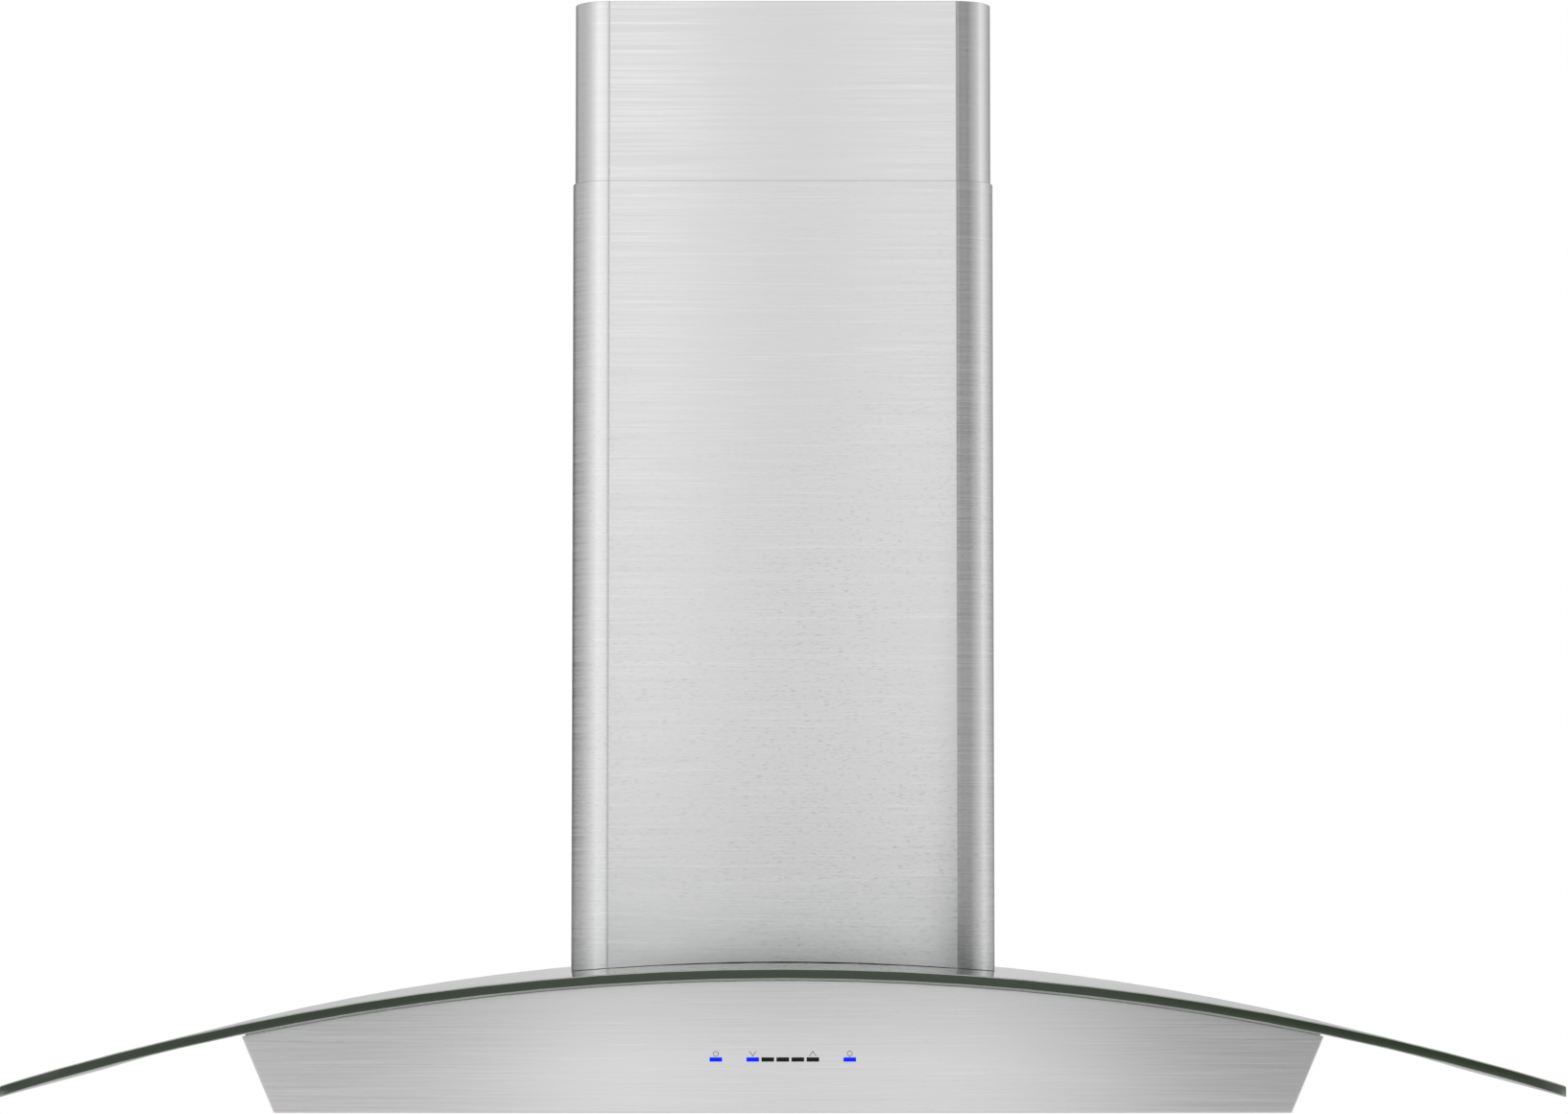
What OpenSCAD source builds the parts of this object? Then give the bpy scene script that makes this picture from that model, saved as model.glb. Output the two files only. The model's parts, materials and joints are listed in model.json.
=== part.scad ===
// Wall mount range hood: a folded steel body under an arched glass canopy, with a blower inside
// a two-part duct cover that telescopes to suit the ceiling.
// X runs across the hood, -Y comes out of the wall and Z is up.
// The origin is on the wall, at the middle of the body's lower back edge.

/* [Glass canopy] */
// Width of the canopy
glass_w = 900; // [860:5:930]
// Depth of the canopy, from the wall
glass_d = 500; // [492:2:520]
// Thickness of the glass
glass_t = 6; // [5:0.5:8]
// Outer radius of the canopy's arch
glass_r = 1521; // [1440:10:1700]
// Height of the glass at its middle
glass_top_z = 82; // [80:1:92]
// Radius of the two front corners, seen from above
glass_corner_r = 40; // [20:1:60]
// Gap between the glass and the wall
glass_wall_gap = 2; // [1:0.5:4]
// How far the glass runs past the body's front
glass_overhang = 8; // [5:1:14]
// Thickness of the silicone gasket under the glass
seal_t = 1; // [0.8:0.1:2]
// Width of the gasket
seal_w = 10; // [6:1:14]

/* [Body] */
// Width of the body at its lower edge
body_bottom_w = 579; // [574:1:590]
// Width of the body where it meets the canopy
body_top_w = 616; // [608:1:640]
// Thickness of the sheet steel
sheet = 1; // [0.8:0.1:1.2]
// Width of the turned-in lip under the body
lip_w = 12; // [8:1:14]
// Sideways distance between the two fixing holes in the back panel
fixing_spacing = 480; // [460:5:500]
// Height of the fixing holes
fixing_z = 28; // [24:1:32]
// Radius of the fixing holes
fixing_hole_r = 4; // [3:0.5:5]

/* [Duct covers] */
// Width of the lower duct cover
cover_w = 263; // [261:1:275]
// Depth of the lower duct cover, from the wall
cover_d = 255; // [253:1:268]
// Radius of the two upright front corners
cover_corner_r = 24; // [16:1:32]
// Height of the lower cover's top edge
lower_top_z = 567; // [540:1:600]
// Height of the upper cover's top edge
upper_top_z = 680; // [650:1:720]
// Length of the upper cover
upper_l = 330; // [300:5:345]
// Width of the turned-in edges at the back
cover_flange_w = 12; // [10:1:14]
// Gap between the two covers
slide_gap = 0.3; // [0.2:0.05:0.5]
// Gap between the lower cover and the glass
foot_gap = 0.3; // [0.2:0.05:0.5]
// Sideways distance between the upper bracket's wall holes
bracket_spacing = 180; // [150:5:200]
// Radius of the upper bracket's wall holes
bracket_hole_r = 3; // [2.5:0.5:4]

/* [Blower] */
// Outer radius of the impeller
impeller_r = 75; // [70:1:76]
// Length of the impeller along its shaft
impeller_w = 100; // [90:1:104]
// Number of blades round the impeller
blade_count = 40; // [30:1:44]
// Thickness of a blade
blade_t = 0.8; // [0.6:0.1:1]
// Radius of a blade's curve
blade_arc_r = 8; // [7:0.5:9]
// Gap between the impeller and the scroll's cut-off
cutoff_gap = 7; // [6:0.5:8]
// How much the scroll opens up at each quarter turn
scroll_step = 10; // [8:0.5:10.5]
// Gap between the impeller's ends and the scroll's sides
impeller_end_gap = 4; // [3:0.5:6]
// Radius of the scroll's two inlets
inlet_r = 62; // [58:1:64]
// Height of the blower box's top
box_top_z = 330; // [326:1:345]
// Gap between the wall and the blower box
box_back_gap = 14; // [12:1:15]
// Radius of the motor
motor_r = 42; // [36:1:46]
// Length of the motor
motor_l = 64; // [54:1:68]
// Radius of the motor's shaft
shaft_r = 4; // [3:0.5:5]
// Clearance round the shaft and round the damper's pin
run_gap = 0.05; // [0.03:0.01:0.08]

/* [Outlet] */
// Outer radius of the round duct collar
collar_r = 75; // [70:1:76]
// Height of the duct collar
collar_h = 60; // [50:1:80]
// Radius of the damper's pin
pin_r = 1.5; // [1.2:0.1:2]
// Thickness of the damper's flaps
flap_t = 0.8; // [0.6:0.1:1]

/* [Grease filters] */
// Width of one filter
filter_w = 262; // [250:1:264]
// Distance from the wall to the filters
filter_rear = 34; // [30:1:40]
// Thickness of a filter
filter_t = 12; // [11:0.5:14]
// Width of the rib between the two filters
rib_w = 12; // [8:1:14]
// Width of a filter frame's rails
rail_w = 10; // [8:1:14]
// Width of one baffle
baffle_w = 28; // [26:1:30]
// Distance from one baffle to the next in its row
baffle_pitch = 36; // [34:1:40]
// Thickness of a baffle
baffle_t = 0.8; // [0.6:0.1:1]
// Travel of a filter's latch
latch_travel = 6; // [5:0.5:7]

/* [Lamps and controls] */
// Depth of the strip that holds the lamps, in front of the filters
lamp_strip = 108; // [100:1:120]
// Radius of the lamp holes
lamp_r = 30; // [26:1:32]
// Sideways distance from the middle to a lamp
lamp_x = 190; // [170:5:210]
// Height of the row of light bars on the front
bar_z = 30.3; // [28:0.1:34]
// Distance between the bars of the middle group
bar_pitch = 8.55; // [8:0.05:9]
// Sideways distance from the middle to the two outer bars
bar_side = 38.1; // [30:0.1:40]
// Width of a light bar
bar_w = 6.7; // [5:0.1:7]
// Height of a light bar
bar_h = 2; // [1.5:0.1:2.5]

/* [Wiring] */
// Radius of the wiring knock-out in the back panel
knockout_r = 11.1; // [10:0.1:12]
// Sideways place of the knock-out
knockout_x = -170; // [-180:1:-160]
// Height of the knock-out
knockout_z = 34; // [33:1:36]

/* [Hidden] */

$fn = 72;
arch_fn = 720;  // the arch is over a metre in radius
cut = 1;        // how far a cutting shape runs past the face that it cuts

// Arch of the canopy: the glass, the gasket and the top panel share one axis, along Y
arch_z = glass_top_z - glass_r;
glass_under_r = glass_r - glass_t;
body_r = glass_under_r - seal_t;
seat_gap = 0.1;  // between curved faces that lie on each other
rest_gap = 0.3;  // between loose pieces

// Body
front_y = -(glass_d - glass_overhang);
inner_front_y = front_y + sheet;
side_h = arch_z + sqrt(body_r * body_r - body_top_w * body_top_w / 4);
side_slope = (body_top_w - body_bottom_w) / 2 / side_h;
side_run = sqrt(1 + side_slope * side_slope);  // level width of a slanted side, over its thickness

// Duct covers
upper_inset = sheet + slide_gap;
bracket_t = 1.5;
bracket_h = 30;
bracket_drop = 10;  // from the cover's top edge down to the bracket
bracket_half = cover_w / 2 - cover_flange_w - bracket_t;
bracket_tab = 9;
bracket_z = upper_top_z - bracket_drop - bracket_h / 2;
bracket_screw_x = bracket_half + bracket_tab / 2;
clip_z = 120;
clip_h = 30;
clip_foot = 16;

// The glass is cut out at the back for the blower; clamps hold the edge of that cut-out
clamp_reach = 9.5;
clamp_t = 1.5;
clamp_w = 24;
clamp_room = 17;  // between the blower box and the edge of the glass
cutout_half = cover_w / 2 - sheet - clamp_reach;
cutout_front_y = -(cover_d - sheet - clamp_reach);
cutout_corner_r = 12;
clamp_ys = [-60, -180];
clamp_xs = [-60, 60];

// Blower box and scroll
box_flange_w = 8;
flange_screw_inset = 20;
small_screw_inset = 8;
clamp_foot = clamp_room - box_flange_w - 0.5;
clamp_lean = (seal_t + glass_t) * cutout_half / body_r;  // of the glass's edge, over its height
clamp_gap = rest_gap + clamp_lean;
clamp_screw_x = -(clamp_foot + clamp_gap + clamp_t) / 2;
scroll_t = 1;
scroll_gap = 2;
half_step = scroll_step / 2;
scroll_r1 = impeller_r + cutoff_gap + half_step;
scroll_r2 = scroll_r1 + scroll_step;
scroll_r3 = scroll_r2 + scroll_step;
scroll_front = half_step + scroll_r1;
scroll_back = half_step + scroll_r3;
scroll_w = impeller_w + 2 * impeller_end_gap;
box_w = 2 * (cutout_half - clamp_room);
box_d = scroll_front + scroll_back + 2 * (scroll_t + scroll_gap + sheet);
box_back_y = -box_back_gap;
box_front_y = box_back_y - box_d;
throat_inset = 4;
window_inset = 14;  // of the service window in the box's front
window_z0 = glass_top_z + 2 * window_inset;
window_z1 = box_top_z - window_inset;
cover_inset = 3;
scroll_y = box_back_y - sheet - scroll_gap - scroll_t - scroll_back;
scroll_z = glass_top_z + half_step + scroll_r2 + scroll_t;
outlet_z = scroll_z + scroll_r3 - scroll_t;
outlet_lip = 8;
bell_r = 8;
bell_t = 1;

// Motor, in places along the shaft's axis
disc_t = 2;
hub_r = 12;
hub_l = 24;
motor_right_x = -18;
motor_left_x = motor_right_x - motor_l;
bearing_r = 2.2 * shaft_r;
bearing_l = 6;
band_w = 8;
band_t = 2;
arm_w = 12;
arm_r = inlet_r + bell_r + 12;
arm_x = motor_left_x + 6;

// Capacitor, on the inside of the box's right wall
capacitor_r = 14;
capacitor_h = 52;
capacitor_inset = 40;
terminal_r = 1.5;
terminal_h = 7;

// Outlet collar and damper
collar_t = 1;
collar_flange_w = 9;
collar_y = box_back_y - collar_r - collar_flange_w - 2;
ledge_w = 4;
ledge_t = 1.5;
ledge_z = box_top_z + 12;
flap_gap = 0.3;
knuckle_r = pin_r + 1.1;
flap_z = ledge_z + ledge_t + flap_gap + flap_t / 2;
flap_r = collar_r - collar_t - 1;
flap_edge = knuckle_r + 0.6;
knuckle_l = 14;
knuckle_y = flap_r - 2.2 * knuckle_l;

// Grease filters, in the bottom panel's openings
filter_z = sheet;
filter_top_z = filter_z + filter_t;
filter_side_gap = 1;
filter_end_gap = 2;
filter_rear_y = -filter_rear;
filter_front_y = front_y + lamp_strip;
filter_x = rib_w / 2 + filter_side_gap + filter_w / 2;
filter_sheet = 1;
tab_w = 20;
tab_reach = 6;
tab_t = 1.5;
baffle_leg = (filter_t - 2 * filter_sheet) * 0.6;
baffle_count = floor((filter_w - 2 * filter_sheet - baffle_w) / baffle_pitch) + 1;
opening_rim = 8;

// Filter latch
latch_w = 40;
latch_l = 16;
latch_wall = 1.5;
latch_ear = 2;
tongue_w = 20;
tongue_t = 1.2;
tongue_reach = 5;
pocket_w = latch_w + 2 * rest_gap;
pocket_l = latch_l + latch_travel + 2 * rest_gap;
housing_w = pocket_w + 2 * (latch_ear + rest_gap + latch_wall);
housing_l = pocket_l + 2 * latch_wall;
latch_y = filter_front_y + latch_wall + rest_gap;
tongue_z = 2 * sheet + rest_gap;
latch_top_z = filter_top_z - latch_wall - 2 * rest_gap - 1;
ear_z = tongue_z + tongue_t + 2;
pocket_rear_y = filter_front_y + latch_wall + pocket_l;
spring_x = 17;
spring_r = 1.5;
spring_wire_r = 0.3;
spring_turns = 5;
spring_hole_r = 2;
spring_hole_l = 12;
spring_z = ear_z + latch_ear / 2 - 0.5;
grip_half = 14;  // half the width of the hollow that a finger pulls

// Lamps and controls
lamp_y = (filter_front_y + inner_front_y) / 2;
bezel_w = 6;
bezel_wall = 1.2;
bezel_h = 8;
lens_t = 2;
fin_count = 5;
fin_pitch = 4;
window_gap = 0.1;
lit_xs = [-bar_side, -2 * bar_pitch, bar_side];
unlit_xs = [for (i = [-1 : 2]) i * bar_pitch];
bar_depth = 2;  // behind the front sheet
board_y = inner_front_y + bar_depth;
board_t = 1.6;
board_w = 2 * bar_side + 16;
board_h = 22;
tray_wall = 1.5;
tray_depth = 14;
tray_gap = 0.3;
post_r = 2.5;

// Wiring box
junction_w = 90;
junction_h = 36;
junction_d = 46;
junction_wall = 1.2;
junction_front = -sheet - junction_d;
junction_x0 = knockout_x - junction_w / 2;
junction_x1 = knockout_x + junction_w / 2;
junction_z0 = knockout_z - junction_h / 2;
junction_z1 = knockout_z + junction_h / 2;
block_l = 24;
block_h = 20;
loom_x = -115;  // the loom runs forward between the throat and the left side
loom_z = 58;
motor_lead_x = motor_left_x - 11;
motor_lead_y = scroll_y + 25;
motor_lead_z = scroll_z - 22;

// Screws: pan heads on plain shanks
hole_reach = 5;  // how far a hole's cutting shape runs each way from the head's seat
screw_r = 2;
screw_l = 6;
screw_gap = 0.1;
head_r = 3.4;
head_h = 1.8;
small_screw_r = 1.5;
small_screw_l = 4;
board_screw_l = 6;
lid_screw_l = 9;
small_head_r = 2.6;
small_head_h = 1.4;

steel = [0.80, 0.80, 0.81];
zinc = [0.66, 0.68, 0.70];
black = [0.08, 0.08, 0.09];
silicone = [0.80, 0.81, 0.80, 0.7];

// Shapes used by many pieces

module box3(low, high) {
    translate(low) cube(high - low);
}

module along_y(y0, y1) {
    translate([0, y1, 0]) rotate([90, 0, 0]) linear_extrude(y1 - y0) children();
}

module along_x(x0, x1) {
    translate([x0, 0, 0]) rotate([90, 0, 90]) linear_extrude(x1 - x0) children();
}

module both_sides() {
    children();
    mirror([1, 0, 0]) children();
}

module tube(r_out, r_in, h) {
    difference() {
        cylinder(h = h, r = r_out);
        translate([0, 0, -cut]) cylinder(h = h + 2 * cut, r = r_in);
    }
}

// Puts a shape on the top panel's outer face, with its Z square to the arch
module on_arch(x, y) {
    translate([0, y, arch_z]) rotate([0, asin(x / body_r), 0]) translate([0, 0, body_r]) children();
}

// Head above the seat at z = 0, shank below it
module screw(shank_l, r = screw_r, head = head_r, height = head_h) {
    cylinder(h = height, r = head);
    translate([0, 0, -shank_l]) cylinder(h = shank_l + height / 2, r = r);
}

module screw_hole(r = screw_r, depth = hole_reach) {
    translate([0, 0, -depth]) cylinder(h = 2 * depth, r = r + screw_gap);
}

module small_hole(depth = hole_reach) {
    screw_hole(small_screw_r, depth);
}

module small_screw(shank_l = small_screw_l) {
    screw(shank_l, small_screw_r, small_head_r, small_head_h);
}

module arch_disc(r) {
    translate([0, arch_z]) circle(r, $fn = arch_fn);
}

module arch_band(r_out, r_in) {
    difference() {
        arch_disc(r_out);
        arch_disc(r_in);
    }
}

function body_half(z, inset) = body_bottom_w / 2 + side_slope * z - inset * side_run;

// The body's slanted sides, seen from the front
module side_slab(inset, z0, z1) {
    polygon([
        [-body_half(z0, inset), z0], [body_half(z0, inset), z0],
        [body_half(z1, inset), z1], [-body_half(z1, inset), z1],
    ]);
}

module body_front(inset = 0) {
    intersection() {
        side_slab(inset, 0, glass_top_z);
        arch_disc(body_r);
    }
}

// Body

module bar_cuts(xs, gap, y0, y1) {
    for (x = xs)
        box3(
            [x - bar_w / 2 - gap, y0, bar_z - bar_h / 2 - gap],
            [x + bar_w / 2 + gap, y1, bar_z + bar_h / 2 + gap]
        );
}

module hood_shell() {
    color(steel) difference() {
        union() {
            difference() {
                along_y(front_y, -sheet) body_front();
                along_y(inner_front_y, 0) side_slab(sheet, -cut, glass_top_z + cut);
            }
            difference() {
                along_y(front_y, -sheet) side_slab(0, 0, sheet);
                box3(
                    [lip_w - body_bottom_w / 2, front_y + lip_w, -cut],
                    [body_bottom_w / 2 - lip_w, 0, sheet + cut]
                );
            }
        }
        bar_cuts(concat(lit_xs, unlit_xs), window_gap, front_y - cut, inner_front_y + cut);
    }
}

module at_clamps() {
    for (s = [-1, 1], y = clamp_ys) on_arch(s * cutout_half, y) rotate([0, 0, s < 0 ? 180 : 0]) children();
    for (x = clamp_xs) on_arch(x, cutout_front_y) rotate([0, 0, -90]) children();
}

module at_blower_screws() {
    ends = [box_front_y + flange_screw_inset, box_back_y - flange_screw_inset];
    for (s = [-1, 1], y = [ends[0], (ends[0] + ends[1]) / 2, ends[1]])
        on_arch(s * (box_w + box_flange_w) / 2, y) children();
}

module top_panel() {
    color(steel) difference() {
        along_y(inner_front_y, -sheet) intersection() {
            side_slab(sheet, 0, glass_top_z);
            arch_band(body_r, body_r - sheet);
        }
        box3(
            [throat_inset - box_w / 2, box_front_y + throat_inset, 0],
            [box_w / 2 - throat_inset, box_back_y - throat_inset, glass_top_z]
        );
        at_clamps() translate([clamp_screw_x, 0, 0]) small_hole();
        at_blower_screws() screw_hole();
    }
}

module back_panel() {
    color(zinc) difference() {
        along_y(-sheet, 0) body_front();
        for (s = [-1, 1]) translate([s * fixing_spacing / 2, -sheet / 2, fixing_z])
            rotate([90, 0, 0]) cylinder(h = 3 * sheet, r = fixing_hole_r, center = true);
        translate([knockout_x, -sheet / 2, knockout_z])
            rotate([90, 0, 0]) cylinder(h = 3 * sheet, r = knockout_r, center = true);
    }
}

module at_filters() {
    for (s = [-1, 1]) translate([s * filter_x, 0, 0]) children();
}

module at_lamps() {
    for (s = [-1, 1]) translate([s * lamp_x, lamp_y, 0]) children();
}

module bottom_panel() {
    half = filter_w / 2 + filter_side_gap;
    rear = filter_rear_y + filter_end_gap;
    front = filter_front_y - filter_end_gap;
    color(steel) difference() {
        union() {
            along_y(inner_front_y, -sheet) side_slab(sheet + seat_gap, sheet, 2 * sheet);
            at_filters() both_sides() box3(
                [half, front, 2 * sheet - sheet / 2],
                [half + sheet, rear, sheet + opening_rim]
            );
        }
        at_filters() box3([-half, front, 0], [half, rear, opening_rim + 2 * sheet]);
        at_lamps() translate([0, 0, -cut]) cylinder(h = 4 * sheet + cut, r = lamp_r);
    }
}

// Glass canopy

module glass_outline() {
    side = glass_w / 2;
    difference() {
        union() {
            translate([-side, glass_corner_r - glass_d])
                square([glass_w, glass_d - glass_corner_r - glass_wall_gap]);
            translate([glass_corner_r - side, -glass_d])
                square([glass_w - 2 * glass_corner_r, 2 * glass_corner_r]);
            for (s = [-1, 1]) translate([s * (side - glass_corner_r), glass_corner_r - glass_d])
                circle(glass_corner_r);
        }
        cutout_outline();
    }
}

module cutout_outline() {
    r = cutout_corner_r;
    translate([-cutout_half, cutout_front_y + r]) square([2 * cutout_half, cut - cutout_front_y - r]);
    translate([r - cutout_half, cutout_front_y]) square([2 * (cutout_half - r), 2 * r]);
    for (s = [-1, 1]) translate([s * (cutout_half - r), cutout_front_y + r]) circle(r);
}

module glass_canopy() {
    color([0.62, 0.72, 0.68, 0.4]) intersection() {
        along_y(-glass_d, -glass_wall_gap) arch_band(glass_r, glass_under_r);
        linear_extrude(glass_top_z + cut) glass_outline();
    }
}

module glass_seal() {
    outer = body_top_w / 2 - 2;
    color(silicone) intersection() {
        along_y(front_y, -sheet) arch_band(glass_under_r - seat_gap, body_r + seat_gap);
        difference() {
            box3([-outer, inner_front_y, 0], [outer, -glass_wall_gap, glass_top_z]);
            box3(
                [seal_w - outer, inner_front_y + seal_w, -cut],
                [outer - seal_w, cut, glass_top_z + cut]
            );
        }
    }
}

// Z-shaped clamps: a foot on the top panel, a riser beside the glass and a leg over it
module glass_clamps() {
    leg_z = seal_t + glass_t + rest_gap;
    color(zinc) at_clamps() difference() {
        rotate([90, 0, 0]) translate([0, 0, -clamp_w / 2]) linear_extrude(clamp_w) polygon([
            [-clamp_foot, rest_gap], [-clamp_foot, rest_gap + clamp_t],
            [-clamp_gap - clamp_t, rest_gap + clamp_t], [-clamp_gap - clamp_t, leg_z + clamp_t],
            [clamp_reach - 2, leg_z + clamp_t], [clamp_reach - 2, leg_z],
            [-clamp_gap, leg_z], [-clamp_gap, rest_gap],
        ]);
        translate([clamp_screw_x, 0, 0]) small_hole();
    }
}

module clamp_screws() {
    color(zinc) at_clamps() translate([clamp_screw_x, 0, rest_gap + clamp_t])
        small_screw();
}

// Duct covers

module cover_fill(inset) {
    half = cover_w / 2 - inset;
    front = inset - cover_d;
    r = cover_corner_r - inset;
    translate([-half, front + r]) square([2 * half, -inset - front - r]);
    translate([r - half, front]) square([2 * (half - r), -inset - front]);
    for (s = [-1, 1]) translate([s * (half - r), front + r]) circle(r);
}

// One folded sheet: front, rounded corners, sides and the turned-in edges at the wall
module cover_section(inset) {
    slot = cover_w / 2 - inset - cover_flange_w;
    difference() {
        cover_fill(inset);
        cover_fill(inset + sheet);
        translate([-slot, -inset - sheet - cut]) square([2 * slot, sheet + 2 * cut]);
    }
}

module lower_duct_cover() {
    color(steel) difference() {
        translate([0, 0, glass_top_z - 20]) linear_extrude(lower_top_z - glass_top_z + 20) cover_section(0);
        along_y(-cover_d - cut, cut) arch_disc(glass_r + foot_gap);
    }
}

module upper_duct_cover() {
    color(steel) difference() {
        translate([0, 0, upper_top_z - upper_l]) linear_extrude(upper_l) cover_section(upper_inset);
        at_bracket_screws() small_hole();
    }
}

// The screws run back towards the wall, from inside the cover
module at_bracket_screws() {
    for (s = [-1, 1]) translate([s * bracket_screw_x, -upper_inset - sheet - bracket_t, bracket_z])
        rotate([90, 0, 0]) children();
}

module upper_cover_bracket() {
    z0 = bracket_z - bracket_h / 2;
    z1 = bracket_z + bracket_h / 2;
    tab_front = -upper_inset - sheet - bracket_t;
    color(zinc) difference() {
        union() {
            box3([-bracket_half, -bracket_t, z0], [bracket_half, 0, z1]);
            both_sides() {
                box3([bracket_half - bracket_t, tab_front, z0], [bracket_half, 0, z1]);
                box3(
                    [bracket_half - bracket_t, tab_front, z0],
                    [bracket_half + bracket_tab, tab_front + bracket_t, z1]
                );
            }
        }
        for (s = [-1, 1]) translate([s * bracket_spacing / 2, 0, bracket_z])
            rotate([90, 0, 0]) cylinder(h = 4 * bracket_t, r = bracket_hole_r, center = true);
        at_bracket_screws() small_hole();
    }
}

module bracket_screws() {
    color(zinc) at_bracket_screws() small_screw(bracket_t + sheet);
}

// Clips from the blower box out to the lower cover's sides
module lower_cover_clips() {
    inner = box_w / 2;
    outer = cover_w / 2 - sheet;
    back = -cover_d / 2;
    color(zinc) both_sides() difference() {
        union() {
            box3([inner, back, clip_z], [inner + clamp_t, back + clip_foot, clip_z + clip_h]);
            box3([inner, back - clamp_t, clip_z], [outer, back, clip_z + clip_h]);
            box3([outer - clamp_t, back, clip_z], [outer, back + clip_foot, clip_z + clip_h]);
        }
        at_clip_screws() small_hole();
    }
}

module at_clip_screws() {
    y = (clip_foot + clamp_t) / 2 - cover_d / 2;
    for (z = [clip_z + small_screw_inset, clip_z + clip_h - small_screw_inset])
        translate([box_w / 2 + clamp_t, y, z]) rotate([0, 90, 0]) children();
}

module clip_screws() {
    color(zinc) both_sides() at_clip_screws() small_screw();
}

// Blower

module at_box_cover_screws() {
    low = window_z0 + small_screw_inset;
    high = window_z1 - small_screw_inset;
    for (s = [-1, 1], z = [low, high])
        translate([s * (box_w - window_inset) / 2, box_front_y - sheet, z]) rotate([90, 0, 0]) children();
}

module blower_box() {
    half = box_w / 2;
    grown = half + box_flange_w;
    color(zinc) difference() {
        union() {
            difference() {
                box3([-half, box_front_y, 0], [half, box_back_y, box_top_z]);
                box3(
                    [sheet - half, box_front_y + sheet, -cut],
                    [half - sheet, box_back_y - sheet, box_top_z - sheet]
                );
            }
            intersection() {
                along_y(box_front_y - box_flange_w, box_back_y + box_flange_w)
                    arch_band(body_r + seat_gap + sheet, body_r - sheet);
                difference() {
                    box3(
                        [-grown, box_front_y - box_flange_w, 0],
                        [grown, box_back_y + box_flange_w, box_top_z]
                    );
                    box3(
                        [sheet - half, box_front_y + sheet, -cut],
                        [half - sheet, box_back_y - sheet, box_top_z + cut]
                    );
                }
            }
        }
        along_y(box_front_y - box_flange_w - cut, cut) arch_disc(body_r + seat_gap);
        box3(
            [window_inset - half, box_front_y - cut, window_z0],
            [half - window_inset, box_front_y + 2 * sheet, window_z1]
        );
        translate([0, collar_y, box_top_z - 2 * sheet]) cylinder(h = 4 * sheet, r = collar_r - collar_t);
        at_blower_screws() screw_hole();
        at_box_cover_screws() small_hole();
        both_sides() at_clip_screws() small_hole();
        at_collar_screws() small_hole();
    }
}

module blower_box_cover() {
    color(zinc) difference() {
        box3(
            [cover_inset - box_w / 2, box_front_y - sheet, window_z0 - window_inset],
            [box_w / 2 - cover_inset, box_front_y, box_top_z - cover_inset]
        );
        at_box_cover_screws() small_hole();
    }
}

module box_cover_screws() {
    color(zinc) at_box_cover_screws() small_screw();
}

module blower_screws() {
    color(zinc) at_blower_screws() translate([0, 0, seat_gap + sheet + run_gap]) screw(screw_l);
}

// Scroll outline round the impeller's centre, in quarter circles whose centres step round a
// square, opening into a straight outlet at the top. Grown outwards by g.
module scroll_outline(g, top) {
    h = half_step;
    big = scroll_r3 + g + cut;
    intersection() {
        translate([-h, -h]) circle(scroll_r1 + g);
        translate([-h - big, -h]) square(big);
    }
    intersection() {
        translate([h, -h]) circle(scroll_r2 + g);
        translate([h - big, -h - big]) square(big);
    }
    intersection() {
        translate([h, h]) circle(scroll_r3 + g);
        translate([h, h - big]) square(big);
    }
    translate([-h, -h]) square(2 * h);
    translate([-h - g, h]) square([scroll_back + h + 2 * g, top - h]);
}

module scroll_wrap() {
    top = outlet_z - scroll_z;
    color(zinc) along_x(-scroll_w / 2, scroll_w / 2) translate([scroll_y, scroll_z]) difference() {
        scroll_outline(scroll_t, top);
        scroll_outline(0, top + cut);
    }
}

module scroll_sides() {
    top = outlet_z - scroll_z;
    edge = scroll_w / 2 + scroll_t;
    color(zinc) both_sides() difference() {
        union() {
            along_x(scroll_w / 2, edge) translate([scroll_y, scroll_z]) scroll_outline(scroll_t, top);
            box3(
                [scroll_w / 2, scroll_y - half_step, outlet_z - scroll_t],
                [edge + outlet_lip, scroll_y + scroll_back, outlet_z]
            );
        }
        on_shaft() translate([0, 0, -edge - cut]) cylinder(h = 2 * (edge + cut), r = inlet_r);
        at_motor_screws() small_hole();
        mirror([1, 0, 0]) at_motor_screws() small_hole();
    }
}

// Turns a shape's Z onto the shaft, which runs along X
module on_shaft() {
    translate([0, scroll_y, scroll_z]) rotate([0, 90, 0]) children();
}

module inlet_rings() {
    color(zinc) both_sides() on_shaft() translate([0, 0, scroll_w / 2 + scroll_t]) rotate_extrude()
        translate([inlet_r + bell_r, 0]) intersection() {
            difference() {
                circle(bell_r);
                circle(bell_r - bell_t);
            }
            translate([-bell_r, 0]) square(bell_r);
        }
}

// Square-to-round piece from the scroll's outlet up to the collar
module outlet_loft(g) {
    hull() {
        translate([-scroll_w / 2 - g, scroll_y - half_step - g, outlet_z])
            cube([scroll_w + 2 * g, scroll_back + half_step + 2 * g, 0.01]);
        translate([0, collar_y, box_top_z - sheet - 0.01])
            cylinder(h = 0.01, r = collar_r - collar_t + g, $fn = 48);
    }
}

module outlet_transition() {
    color(zinc) union() {
        difference() {
            outlet_loft(scroll_t);
            outlet_loft(0);
        }
        both_sides() box3(
            [scroll_w / 2 + scroll_t / 2, scroll_y - half_step, outlet_z],
            [scroll_w / 2 + scroll_t + outlet_lip, scroll_y + scroll_back, outlet_z + scroll_t]
        );
    }
}

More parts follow.
